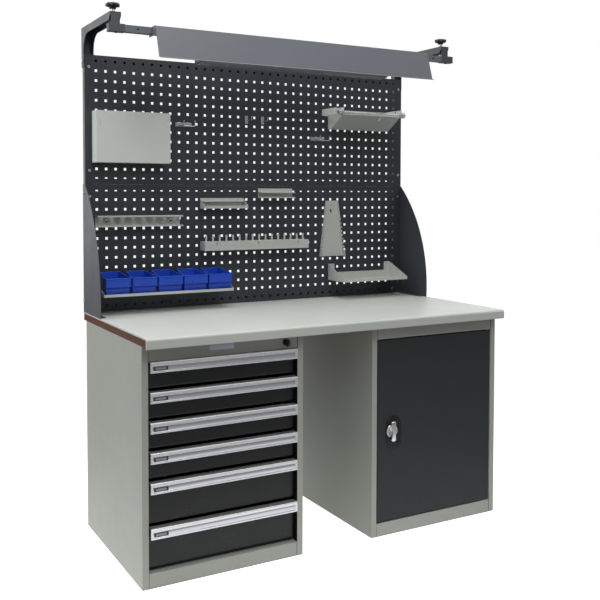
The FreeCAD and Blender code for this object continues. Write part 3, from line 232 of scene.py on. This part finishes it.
def plated(name, colour, roughness):
    """Chrome or zinc plate with a trace of polishing marks and smudges."""
    make = Maker(name)
    smudge = make.noise(60.0, 4.0)
    make.colour(make.ramp(smudge, [(0.3, scaled(colour, 0.96)), (0.8, colour)]))
    make.roughness(smudge, 0.35, 0.75, roughness, roughness * 1.9)
    make.bump(make.noise(900.0, 2.0), 0.03, 0.0001, make.bevel(METAL_EDGE))
    make.set(Metallic=1.0)
    return make.material


def moulded_plastic(name, colour, roughness, gloss=0.5, grain=1300.0, depth=0.15):
    """Injection-moulded plastic with a fine spark-eroded grain."""
    make = Maker(name)
    make.colour(make.ramp(make.noise(9.0, 3.0), [(0.3, scaled(colour, 0.93)), (0.75, scaled(colour, 1.07))]))
    make.roughness(make.noise(30.0, 3.0), 0.3, 0.7, roughness - 0.05, roughness + 0.07)
    make.bump(make.noise(grain, 2.0), depth, 0.0002, make.bevel(PLASTIC_EDGE))
    make.set(Specular_IOR_Level=gloss)
    return make.material


def label_plastic(name, colour, roughness, gloss=0.5):
    """Smooth plastic of labels and plates."""
    return moulded_plastic(name, colour, roughness, gloss, grain=2000.0, depth=0.03)


def plywood_edge(name):
    """Bare plywood: alternating thin veneers, seen end on, with short streaks of grain."""
    make = Maker(name)
    layers = make.add("TexWave")
    layers.wave_type = "BANDS"
    layers.bands_direction = "Z"
    for socket, number in (("Scale", 105.0), ("Distortion", 0.8), ("Detail", 2.0), ("Detail Scale", 0.6)):
        layers.inputs[socket].default_value = number
    make.link(make.coords, layers.inputs["Vector"])
    veneer = make.ramp(layers.outputs["Fac"], [(0.15, linear(78, 48, 38)), (0.55, linear(104, 68, 52)),
                                               (0.9, linear(126, 86, 64))])
    streaks = make.noise(1.0, 4.0, make.stretched((260.0, 60.0, 1400.0)))
    dark = make.span(streaks, 0.35, 0.7, 0.45, 0.0)
    make.colour(make.mix(dark, veneer, linear(52, 32, 26)))
    make.roughness(make.noise(5.0, 2.0, make.stretched((1.0, 1.0, 10.0))), 0.3, 0.7, 0.62, 0.78)
    make.bump(layers.outputs["Fac"], 0.25, 0.0004)
    make.set(Specular_IOR_Level=0.25)
    return make.material


def shaded_opal_plastic(name):
    """Frosted ribbed plastic of the lamp's diffuser, coloured grey: painted shade, for the unlit diffuser in
    the shadow of the lamp.
    """
    make = Maker(name)
    ribs = make.add("TexWave")
    ribs.bands_direction = "Y"
    ribs.inputs["Scale"].default_value = 80.0
    make.link(make.coords, ribs.inputs["Vector"])
    # Grey in place of the diffuser's white: painted shade
    make.colour(make.ramp(make.noise(20.0), [(0.3, linear(116, 118, 120)), (0.7, linear(128, 130, 132))]))
    make.bump(ribs.outputs["Fac"], 0.3, 0.0006)
    make.set(Roughness=0.35, Subsurface_Weight=0.15, Subsurface_Radius=(0.004, 0.004, 0.004))
    return make.material


# The materials

TOP_PAINT = powder_coat("worktop paint", linear(203, 207, 201), 0.42, grain=520.0, wear=0.05, gloss=0.4)
CABINET_PAINT = powder_coat("cabinet paint", linear(172, 175, 168), wear=0.06)
FRONT_PAINT = powder_coat("anthracite paint", linear(46, 50, 53), 0.46, wear=0.07, gloss=0.3)
DRAWER_PAINT = powder_coat("drawer paint", linear(20, 22, 23), 0.3, wear=0.08, gloss=0.4)
PANEL_PAINT = powder_coat("panel paint", linear(46, 50, 56), 0.42, grain=900.0, wear=0.08, gloss=0.5)
FRAME_PAINT = powder_coat("frame paint", linear(66, 69, 75), 0.36, wear=0.1, gloss=0.6)
SHADE_PAINT = powder_coat("shade paint", linear(106, 110, 116), 0.4, wear=0.08, gloss=0.4)
RACK_PAINT = powder_coat("rack paint", linear(198, 200, 196), 0.46, wear=0.08)
# Lighter copy of the rack paint for the document pocket: painted light, standing in for the brighter light on
# the pocket
POCKET_PAINT_LIT = powder_coat("pocket paint with painted light", linear(222, 226, 222), 0.46, wear=0.08)
RAIL = brushed_metal("rail aluminium", linear(236, 237, 240), 0.26, "x", metallic=0.8)
STRIP = brushed_metal("rail strip", linear(206, 207, 214), 0.2, "x", depth=0.06)
RUNNER = brushed_metal("runner steel", linear(176, 178, 180), 0.34, "y")
ZINC = plated("zinc plate", linear(190, 193, 196), 0.25)
CHROME = plated("chrome plate", linear(222, 223, 226), 0.1)
GUNMETAL = plated("dark plate", linear(70, 71, 74), 0.24)
BLACK = moulded_plastic("black plastic", linear(26, 26, 28), 0.38)
LATCH_BLACK = moulded_plastic("latch plastic", linear(12, 12, 13), 0.34, gloss=0.4)
BLUE = moulded_plastic("bin plastic", linear(32, 78, 200), 0.32, grain=1000.0, depth=0.1)
# Near-black plastic used as painted shade: in the seams, in the joint of the panels and on the inner faces of
# two posts
PAINTED_SHADE = moulded_plastic("seam shadow", linear(22, 22, 22), 0.7, gloss=0.1)
LABEL_HOLDER = label_plastic("label holder", linear(48, 49, 52), 0.3)
BLANK = label_plastic("blank label", linear(150, 151, 158), 0.4, gloss=0.4)
PLATE = label_plastic("name plate", linear(204, 208, 222), 0.3)
PLY = plywood_edge("plywood edge")
SHADED_OPAL = shaded_opal_plastic("shaded diffuser plastic")

SURFACES = {
    PLY: ["worktop_core"],
    TOP_PAINT: ["worktop_skin"],
    CABINET_PAINT: ["left_cabinet", "right_cabinet", "cabinet_shelf"],
    FRONT_PAINT: ["door_panel"],
    DRAWER_PAINT: ["drawer_%d_box" % number for number in DRAWERS],
    RAIL: ["drawer_%d_rail" % number for number in DRAWERS],
    RUNNER: ["drawer_runners"],
    PANEL_PAINT: ["lower_panel", "upper_panel"],
    FRAME_PAINT: ["left_upright", "right_upright", "left_gusset", "right_gusset", "left_arm", "right_arm",
                  "lamp_hangers", "lamp_body"],
    SHADE_PAINT: ["lamp_shade", "lamp_bar"],
    RACK_PAINT: ["roll_holder", "tool_rack", "drill_rack", "hex_key_rack", "socket_rack", "wrench_holder",
                 "left_shelf", "right_shelf"],
    POCKET_PAINT_LIT: ["document_pocket"],
    ZINC: ["door_pivots", "latch_cam", "shelf_pegs", "panel_screws", "frame_bolts", "hooks"],
    CHROME: ["latch_handle", "roll_rod"],
    GUNMETAL: ["lock_barrel", "lock_core"],
    BLACK: ["lock_key", "left_knob", "right_knob"],
    LATCH_BLACK: ["latch_housing"],
    BLUE: ["bin_%d" % number for number in BINS],
    SHADED_OPAL: ["lamp_diffuser"],
}
for surface, nodes in SURFACES.items():
    for node in nodes:
        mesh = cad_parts[node].data
        mesh.materials.clear()
        mesh.materials.append(surface)


# Shapes

SMOOTH_BELOW = math.radians(35.0)


def finished(name, shape, surface, body):
    """Turns a bmesh into a shaded piece that rides on a body."""
    bmesh.ops.recalc_face_normals(shape, faces=shape.faces)
    mesh = bpy.data.meshes.new(name)
    shape.to_mesh(mesh)
    shape.free()
    for polygon in mesh.polygons:
        polygon.use_smooth = True
    mesh.set_sharp_from_angle(angle=SMOOTH_BELOW)
    piece = bpy.data.objects.new(name, mesh)
    bpy.context.scene.collection.objects.link(piece)
    mesh.materials.append(surface)
    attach(piece, body)
    return piece


def soft_block(low, high, radius, segments=2):
    """Box in millimetres with rounded edges."""
    shape = bmesh.new()
    size = [(b - a) * MM for a, b in zip(low, high)]
    centre = [(a + b) / 2 * MM for a, b in zip(low, high)]
    matrix = Matrix.Translation(centre) @ Matrix.Diagonal((*size, 1.0))
    bmesh.ops.create_cube(shape, size=1.0, matrix=matrix)
    bmesh.ops.bevel(shape, geom=shape.edges[:], offset=radius * MM, segments=segments, affect="EDGES",
                    profile=0.5)
    return shape


def loft(loops):
    """Closed skin over loops of the same number of points, in millimetres."""
    shape = bmesh.new()
    rings = [[shape.verts.new([value * MM for value in point]) for point in loop] for loop in loops]
    count = len(rings[0])
    for lower, upper in zip(rings, rings[1:]):
        for index in range(count):
            after = (index + 1) % count
            shape.faces.new((lower[index], lower[after], upper[after], upper[index]))
    shape.faces.new(rings[0][::-1])
    shape.faces.new(rings[-1])
    return shape


def turned(profile, centre, axis, steps=48):
    """Solid of revolution: profile is (radius, distance along the axis) in millimetres."""
    along = Vector(axis).normalized()
    side = along.orthogonal().normalized()
    other = along.cross(side)
    loops = []
    for radius, distance in profile:
        loop = []
        for step in range(steps):
            angle = 2 * math.pi * step / steps
            radial = side * math.cos(angle) * radius + other * math.sin(angle) * radius
            loop.append(Vector(centre) + along * distance + radial)
        loops.append(loop)
    return loft(loops)


def box_mm(node):
    low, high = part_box(node)
    return [value * 1000 for value in low], [value * 1000 for value in high]


# Drawer rails: a bright strip in the recess, with a black label holder and its blank label at the left end

RAIL_RECESS = 3.0
STRIP_BELOW_RAIL_TOP = (31.2, 13.0)
STRIP_END_GAP = 8.0
HOLDER_SPAN = (11.0, 61.0)
HOLDER_MARGIN = 2.2
LABEL_SPAN = (17.0, 54.0)
LABEL_MARGIN = 5.2

# Rear and front face of each layer, measured forward from the back of the recess
STRIP_LAYER = (-0.2, 0.7)
HOLDER_LAYER = (0.6, 1.3)
LABEL_LAYER = (1.2, 1.6)


def in_recess(rail, span, margin, layer, radius, segments=2):
    """Flat piece in the recess of a rail; span runs across from the rail's left end."""
    low, high = rail
    back = low[1] + RAIL_RECESS
    bottom, top = (high[2] - below for below in STRIP_BELOW_RAIL_TOP)
    return soft_block((low[0] + span[0], back - layer[1], bottom + margin),
                      (low[0] + span[1], back - layer[0], top - margin), radius, segments)


for number in DRAWERS:
    drawer = "drawer_%d" % number
    rail = box_mm(drawer + "_rail")
    strip_span = (STRIP_END_GAP, rail[1][0] - rail[0][0] - STRIP_END_GAP)
    strip = in_recess(rail, strip_span, 0, STRIP_LAYER, radius=0.25)
    holder = in_recess(rail, HOLDER_SPAN, HOLDER_MARGIN, HOLDER_LAYER, radius=0.3)
    label = in_recess(rail, LABEL_SPAN, LABEL_MARGIN, LABEL_LAYER, radius=0.15, segments=1)
    finished(drawer + "_strip", strip, STRIP, drawer)
    finished(drawer + "_label_holder", holder, LABEL_HOLDER, drawer)
    finished(drawer + "_blank_label", label, BLANK, drawer)


# Blank name plate; dark strips of painted shade in the seams beside the posts and in the joint of the panels;
# and dark sheets of painted shade on the inner faces of two posts

FASCIA_Y = -316.0
NAME_PLATE_X = (-509.0, -420.0)
NAME_PLATE_Z = (771.5, 797.0)
NAME_PLATE_PROUD = 1.0
NAME_PLATE_SUNK = 0.2
POST_EDGES = ((-727.0, -171.0), (171.0, 727.0))
SEAM_WIDTH = 1.8
SEAM_OVERLAP = 0.2
SEAM_PROUD = 0.35
SEAM_SUNK = 0.3
SEAM_HEIGHTS = ((1.5, 49.0), (753.0, 803.5))
# Dark sheet of painted shade on the inner face of a post: its thickness, how far it stands in front, its
# depth and its heights
SHADE_SHEET = 0.6
SHADE_SHEET_PROUD = 0.4
SHADE_SHEET_DEPTH = 27.0
SHADE_SHEET_HEIGHTS = (50.5, 751.5)
PANEL_JOINT_LOW = (-740.0, 341.2, 1334.6)
PANEL_JOINT_HIGH = (740.0, 342.4, 1335.4)

plate = soft_block((NAME_PLATE_X[0], FASCIA_Y - NAME_PLATE_PROUD, NAME_PLATE_Z[0]),
                   (NAME_PLATE_X[1], FASCIA_Y + NAME_PLATE_SUNK, NAME_PLATE_Z[1]), radius=0.4)
finished("blank_name_plate", plate, PLATE, "bench")

# Dark strips of painted shade at the edges of the posts, over the fascia and the sill, standing in for the
# shadow in the seams
for left_edge, right_edge in POST_EDGES:
    for x in (left_edge - SEAM_OVERLAP, right_edge - SEAM_WIDTH + SEAM_OVERLAP):
        for bottom, top in SEAM_HEIGHTS:
            seam = soft_block((x, FASCIA_Y - SEAM_PROUD, bottom),
                              (x + SEAM_WIDTH, FASCIA_Y + SEAM_SUNK, top), radius=0.1, segments=1)
            finished("seam_%d_%d" % (x, bottom), seam, PAINTED_SHADE, "bench")

# Dark strip of painted shade in the joint of the two panels
joint_shade_strip = soft_block(PANEL_JOINT_LOW, PANEL_JOINT_HIGH, radius=0.1, segments=1)
finished("panel_joint", joint_shade_strip, PAINTED_SHADE, "bench")

# Dark sheets on the inner faces of the posts beside the drawers: painted shade, standing in for the shadow on
# these faces
drawer_opening = POST_EDGES[0]
for x in (drawer_opening[0], drawer_opening[1] - SHADE_SHEET):
    shade_sheet = soft_block((x, FASCIA_Y - SHADE_SHEET_PROUD, SHADE_SHEET_HEIGHTS[0]),
                       (x + SHADE_SHEET, FASCIA_Y + SHADE_SHEET_DEPTH, SHADE_SHEET_HEIGHTS[1]), radius=0.1, segments=1)
    finished("post_painted_shade_%d" % x, shade_sheet, PAINTED_SHADE, "bench")


# Bins

BIN_FRONT_HALF = 50.2
BIN_REAR_HALF = 40.6
BIN_FRONT_GAP = 1.2
BIN_REAR_GAP = 1.5
BIN_FACE_SETBACK = 1.8
BIN_RIM_FRONT = 69.0
BIN_RIM_REAR = 85.0
BIN_RIM_RISE_LENGTH = 62.0
BIN_FOOT_SETBACK = 13.0
LEDGE_HALF = 40.0
LEDGE_SETBACK = 3.0
LEDGE_PROUD = 1.9
LEDGE_SUNK = 0.4
LEDGE_HEIGHTS = (37.5, 39.3)
CORNER_STEPS = 5
LONG_RUN = 9.0


def plan_loop(centre, front, rear, front_half, rear_half, radius, grow, height):
    """Rounded trapezoid seen from above; height is a function of y."""
    corners = [(centre - front_half - grow, front - grow, 180),
               (centre + front_half + grow, front - grow, 270),
               (centre + rear_half + grow, rear + grow, 0),
               (centre - rear_half - grow, rear + grow, 90)]
    signs = [(1, 1), (-1, 1), (-1, -1), (1, -1)]
    points = []
    for (x, y, start), (sx, sy) in zip(corners, signs):
        cx, cy = x + sx * radius, y + sy * radius
        for step in range(CORNER_STEPS + 1):
            angle = math.radians(start + 90 * step / CORNER_STEPS)
            px, py = cx + radius * math.cos(angle), cy + radius * math.sin(angle)
            points.append((px, py, height(py)))
    return points


def refined(points):
    """Adds points, in two rounds, in the middle of the long straight runs."""
    for _ in range(2):
        result = []
        for first, second in zip(points, points[1:] + points[:1]):
            result.append(first)
            if math.dist(first, second) > LONG_RUN:
                result.append(tuple((a + b) / 2 for a, b in zip(first, second)))
        points = result
    return points


def storage_bin(low, high):
    """Open bin: outside from the floor up, over the rim, and down inside to the floor again."""
    centre = (low[0] + high[0]) / 2
    base, front, rear = low[2], low[1] + BIN_FRONT_GAP, high[1] - BIN_REAR_GAP
    foot = front + BIN_FOOT_SETBACK
    face = front + BIN_FACE_SETBACK

    def level(z):
        return lambda y: base + z

    def below_rim(drop):
        def height(y):
            share = min(max((y - front) / BIN_RIM_RISE_LENGTH, 0.0), 1.0)
            rise = (BIN_RIM_REAR - BIN_RIM_FRONT) * share * share * (3 - 2 * share)
            return base + BIN_RIM_FRONT + rise - drop
        return height

    # Front of the ring, what is taken off its half width in front and behind, corner radius, growth, height
    rings = [
        (foot + 1, 5, 2, 4, 0, level(0.0)),
        (foot, 4, 2, 4, 0, level(1.5)),
        (foot - 1, 2, 1.5, 4, 0, level(29.0)),
        (front + 2.2, 0, 1, 4, 0, level(34.5)),
        (face, 0, 1, 4, 0, level(37.0)),
        (face, 0, 1, 4, 0, below_rim(5)),
        (face, 0, 1, 4.5, 1.6, below_rim(4.4)),
        (face, 0, 1, 4.5, 1.6, below_rim(0.8)),
        (face, 0, 1, 4.2, 1.0, below_rim(0)),
        (face, 0, 1, 3, -1.4, below_rim(0)),
        (face, 0, 1, 2.4, -2.0, below_rim(0.8)),
        (front + 3.5, 0, 1, 2.4, -2.0, level(36.0)),
        (foot + 1, 2, 1.5, 2.4, -2.0, level(29.5)),
        (foot + 1, 4, 2, 2.4, -2.0, level(3.2)),
        (foot + 2, 5, 2, 3, -3.0, level(2.0)),
    ]
    loops = []
    for ring_front, front_less, rear_less, radius, grow, height in rings:
        loops.append(refined(plan_loop(centre, ring_front, rear, BIN_FRONT_HALF - front_less,
                                       BIN_REAR_HALF - rear_less, radius, grow, height)))
    return loft(loops)


for number in BINS:
    node = "bin_%d" % number
    low, high = box_mm(node)
    shell = finished("storage_" + node, storage_bin(low, high), BLUE, node)
    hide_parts(node)
    centre = (low[0] + high[0]) / 2
    face = low[1] + LEDGE_SETBACK
    ledge = soft_block((centre - LEDGE_HALF, face - LEDGE_PROUD, low[2] + LEDGE_HEIGHTS[0]),
                       (centre + LEDGE_HALF, face + LEDGE_SUNK, low[2] + LEDGE_HEIGHTS[1]), radius=0.5)
    finished(node + "_label_ledge", ledge, BLUE, node)


# Clamp knobs

KNOB_X = 731.0
KNOB_Y = 28.0
KNOB_HEAD_HEIGHT = 13.5
KNOB_LOBES = 7
KNOB_STEPS = 98
SCREW_PROFILE = [(3.4, 0), (4, 0.6), (4, 36), (9.2, 36.3), (9.2, 40), (7.5, 41), (7.5, 50), (4, 51)]


def knob(centre_x, centre_y, base, top):
    """Hand knob with rounded lobes, a dished top with a cap, and a tapered neck."""
    # Radius, depth of the hollows between the lobes, height
    sections = [(10, 0, base - 8), (12, 0, base - 6), (13, 0, base - 1), (21, 3, base), (24.6, 6, base + 1.2),
                (25.8, 6.4, base + 4), (25.9, 6.4, base + (top - base) * 0.6), (24.9, 6.2, top - 2.6),
                (22.8, 5.4, top - 0.7), (20.5, 4.4, top - 0.1), (13, 0.6, top - 0.6), (11.5, 0, top - 1.6),
                (10.5, 0, top - 1.6), (10, 0, top - 0.4), (8.5, 0, top), (3, 0, top)]
    loops = []
    for radius, waviness, z in sections:
        loop = []
        for step in range(KNOB_STEPS):
            angle = 2 * math.pi * step / KNOB_STEPS
            wave = (0.5 + 0.5 * math.cos(KNOB_LOBES * angle)) ** 0.7
            reach = radius - waviness * (1 - wave)
            loop.append((centre_x + reach * math.cos(angle), centre_y + reach * math.sin(angle), z))
        loops.append(loop)
    return loft(loops)


for side, x in (("left", -KNOB_X), ("right", KNOB_X)):
    body = side + "_clamp"
    low, high = box_mm(side + "_knob")
    head_shape = knob(x, KNOB_Y, high[2] - KNOB_HEAD_HEIGHT, high[2])
    screw_shape = turned(SCREW_PROFILE, (x, KNOB_Y, low[2]), (0, 0, 1))
    head = finished(side + "_knob_head", head_shape, BLACK, body)
    screw = finished(side + "_knob_screw", screw_shape, ZINC, body)
    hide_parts(side + "_knob")
    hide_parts(side + "_knob")


# Door latch: dished black bezel and a waisted chrome grip on a round rotor

DOOR_Y = -314.0
HOUSING = (249.0, 392.0)
TURN = (241.0, 398.0)
KEYHOLE = (275.0, 348.0)
OVAL = 2.6
ROUND = 2.0
OVAL_STEPS = 56
GRIP_HALF_HEIGHT = 38.0
GRIP_WAIST = 7.6
GRIP_FLARE = 5.0
GRIP_REACH = 21.4
GRIP_REACH_LOSS = 4.0
GRIP_BASE = 4.7
GRIP_END_FROM = 0.86
GRIP_END_SHARE = 0.15
GRIP_END_LEAST = 0.12
GRIP_ROUNDING = 0.0008

# Heights of the grip's sections above its middle, and a section's points as shares of half width and reach
GRIP_HEIGHTS = [-38, -37, -35, -32.5, -27, -19, -11, -4, 0, 4, 11, 19, 27, 32.5, 35, 37, 38]
GRIP_SECTION = [(-1, 0), (-1, 0.55), (-0.82, 0.88), (-0.4, 1), (0.4, 1), (0.82, 0.88), (1, 0.55), (1, 0)]

# Half width, half height and distance off the door; then radius and distance for the dish and the rotor
BEZEL_RINGS = [(37, 62, 0), (37, 62, 1.5), (35.5, 60.5, 3.6), (33, 58, 4)]
DISH_RINGS = [(26.4, 4), (25.7, 3.4), (25.6, 1.6), (10, 1.5)]
ROTOR_RINGS = [(6, 2.1), (24.6, 2.2), (24.9, 2.5), (24.9, 4.3), (24.2, 4.9), (20, 5.0), (6, 5.0)]

# Radius, and distance along the axis from a start in front of the door
BOSS_START = 1
BOSS_PROFILE = [(9.5, 0), (9.5, 3.6), (8.6, 5), (6, 5.2), (5.7, 4.6), (5.7, -1)]
SPINDLE_START = 3
SPINDLE_PROFILE = [(4.9, 0), (4.9, 27)]


def oval_loop(centre, half_width, half_height, out, power):
    """Oval in front of the door, out millimetres off it; a power of 2 is round, and more is squarer."""
    points = []
    for step in range(OVAL_STEPS):
        angle = 2 * math.pi * step / OVAL_STEPS
        c, s = math.cos(angle), math.sin(angle)
        points.append((centre[0] + half_width * math.copysign(abs(c) ** (2 / power), c), DOOR_Y - out,
                       centre[1] + half_height * math.copysign(abs(s) ** (2 / power), s)))
    return points


def grip_loop(height):
    """Section of the grip at a height above its middle; narrow in the middle and wide at the ends."""
    share = abs(height) / GRIP_HALF_HEIGHT
    half_width = GRIP_WAIST + GRIP_FLARE * share ** 1.5
    if share > GRIP_END_FROM:
        half_width *= math.sqrt(max(1 - ((share - GRIP_END_FROM) / GRIP_END_SHARE) ** 2, GRIP_END_LEAST))
    reach = GRIP_REACH - GRIP_REACH_LOSS * share ** 2
    return [(TURN[0] + x * half_width, DOOR_Y - GRIP_BASE - y * (reach - GRIP_BASE), TURN[1] + height)
            for x, y in GRIP_SECTION]


housing_loops = [oval_loop(HOUSING, *ring, OVAL) for ring in BEZEL_RINGS]
housing_loops += [oval_loop(TURN, radius, radius, out, ROUND) for radius, out in DISH_RINGS]
housing = finished("latch_bezel", loft(housing_loops), LATCH_BLACK, "door")
boss_shape = turned(BOSS_PROFILE, (KEYHOLE[0], DOOR_Y - BOSS_START, KEYHOLE[1]), (0, -1, 0))
boss = finished("latch_lock_boss", boss_shape, LATCH_BLACK, "door")
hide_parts("latch_housing")
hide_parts("latch_housing")

rotor_shape = loft([oval_loop(TURN, radius, radius, out, ROUND) for radius, out in ROTOR_RINGS])
rotor = finished("latch_turn_plate", rotor_shape, CHROME, "door_handle")
grip_shape = loft([grip_loop(height) for height in GRIP_HEIGHTS])
grip = finished("latch_grip", grip_shape, CHROME, "door_handle")
softening = grip.modifiers.new("soft edges", "BEVEL")
softening.width = GRIP_ROUNDING
softening.segments = 3
spindle_shape = turned(SPINDLE_PROFILE, (TURN[0], DOOR_Y - SPINDLE_START, TURN[1]), (0, 1, 0), steps=24)
spindle = finished("latch_spindle", spindle_shape, CHROME, "door_handle")
for piece in (rotor, grip, spindle):
    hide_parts("latch_handle")


# Studio

WORLD_LIGHT = 0.5
WHITE = (1, 1, 1, 1)

FLOOR_REACH = 14.0
FLOOR_SQUEEZE = (0.8, 1.0, 1.0)

# Two distances from the middle of the floor, then the value at the first and at the second
FLOOR_SHADE = (0.5, 1.7, 0.9, 0.12)
FLOOR_SEEN = (0.55, 1.6, 0.92, 1.0)
FLOOR_BOUNCE = (0.4, 2.6, 0.3, 0.0)
FLOOR_MIRRORED = (0.6, 1.8, 0.4, 0.25)

# Name, place, point that it faces, diameter and watts
LAMPS = [
    ("key light", (-3.8, 0.5, 2.5), (0, 0, 0.8), 2.2, 50),
    ("front light", (-0.4, -3.2, 3.8), (0, 0, 1.4), 1.8, 38),
    ("top light", (-0.5, -0.4, 3.9), (0, -0.1, 0.8), 3.0, 63),
]

CAMERA_PLACE = (-1.6625, -2.9996, 1.2979)
CAMERA_YAW = 0.50993
CAMERA_PITCH = 0.03763
CAMERA_ROLL = -0.00196
CAMERA_LENS = 52.02
CAMERA_SENSOR = 36.0
CAMERA_SHIFT_Y = -0.122


def add_floor():
    """White sweep: white to the camera, and pale in mirrors and through glass as well."""
    make = Maker("floor")
    make.set(Roughness=0.9, Specular_IOR_Level=0.0, Emission_Color=WHITE)
    path = make.add("LightPath")
    length = make.add("VectorMath")
    length.operation = "LENGTH"
    make.link(make.stretched(FLOOR_SQUEEZE), length.inputs[0])
    distance = length.outputs["Value"]
    make.colour(make.span(distance, *FLOOR_SHADE))
    seen = make.span(distance, *FLOOR_SEEN)
    bounce = make.span(distance, *FLOOR_BOUNCE)
    mirrored = make.span(distance, *FLOOR_MIRRORED)
    reflected = make.compute("MAXIMUM", path.outputs["Is Glossy Ray"], path.outputs["Is Transmission Ray"])
    indirect = make.compute("MAXIMUM", bounce, make.compute("MULTIPLY", reflected, mirrored))
    strength = make.blend(path.outputs["Is Camera Ray"], indirect, seen)
    make.link(strength, make.shader.inputs["Emission Strength"])
    mesh = bpy.data.meshes.new("floor")
    corners = [(x * FLOOR_REACH, y * FLOOR_REACH, 0) for x, y in ((-1, -1), (1, -1), (1, 1), (-1, 1))]
    mesh.from_pydata(corners, [], [(0, 1, 2, 3)])
    mesh.materials.append(make.material)
    floor = bpy.data.objects.new("floor", mesh)
    bpy.context.scene.collection.objects.link(floor)


def add_world():
    """White to the camera and behind the object in mirrors, and softer as a light."""
    world = bpy.data.worlds.new("studio")
    bpy.context.scene.world = world
    tree = NodeTree(world)
    background = tree.nodes["Background"]
    background.inputs["Color"].default_value = WHITE
    path = tree.add("LightPath")
    direction = tree.add("SeparateXYZ")
    tree.link(tree.add("TexCoord").outputs["Generated"], direction.inputs["Vector"])
    forward, upward = direction.outputs["Y"], direction.outputs["Z"]
    behind = tree.span(forward, -0.5, 0.4, 0.0, 1.0)
    windows = tree.span(upward, 0.0, 0.3, 0.12, 0.8)
    mirrored = tree.compute("MAXIMUM", behind, windows)
    overhead = tree.span(upward, 0.0, 0.8, WORLD_LIGHT * 0.5, WORLD_LIGHT * 1.3)
    sideways = tree.span(forward, -0.9, 0.2, 0.45, 1.0)
    light = tree.compute("MULTIPLY", overhead, sideways)
    indirect = tree.blend(path.outputs["Is Glossy Ray"], light, mirrored)
    seen = tree.compute("MAXIMUM", path.outputs["Is Camera Ray"], path.outputs["Is Transmission Ray"])
    tree.link(tree.blend(seen, indirect, 1.0), background.inputs["Strength"])


def add_lamp(name, place, target, size, power):
    light = bpy.data.lights.new(name, "AREA")
    light.shape = "DISK"
    light.size = size
    light.energy = power
    lamp = bpy.data.objects.new(name, light)
    lamp.location = place
    lamp.rotation_euler = (Vector(target) - Vector(place)).to_track_quat("-Z", "Y").to_euler()
    bpy.context.scene.collection.objects.link(lamp)


def add_camera():
    """Camera solved from the photo: turned by yaw, tilted down by pitch, and a trace of roll."""
    camera = bpy.data.cameras.new("camera")
    camera.sensor_width = CAMERA_SENSOR
    camera.lens = CAMERA_LENS
    camera.shift_y = CAMERA_SHIFT_Y
    camera.clip_end = 60.0
    turn = Matrix.Rotation(-CAMERA_YAW, 4, "Z")
    tilt = Matrix.Rotation(math.pi / 2 - CAMERA_PITCH, 4, "X")
    roll = Matrix.Rotation(-CAMERA_ROLL, 4, "Z")
    holder = bpy.data.objects.new("camera", camera)
    holder.matrix_world = Matrix.Translation(CAMERA_PLACE) @ turn @ tilt @ roll
    bpy.context.scene.collection.objects.link(holder)
    bpy.context.scene.camera = holder


add_floor()
add_world()
for lamp_values in LAMPS:
    add_lamp(*lamp_values)
add_camera()
bpy.context.scene.view_settings.view_transform = "Standard"
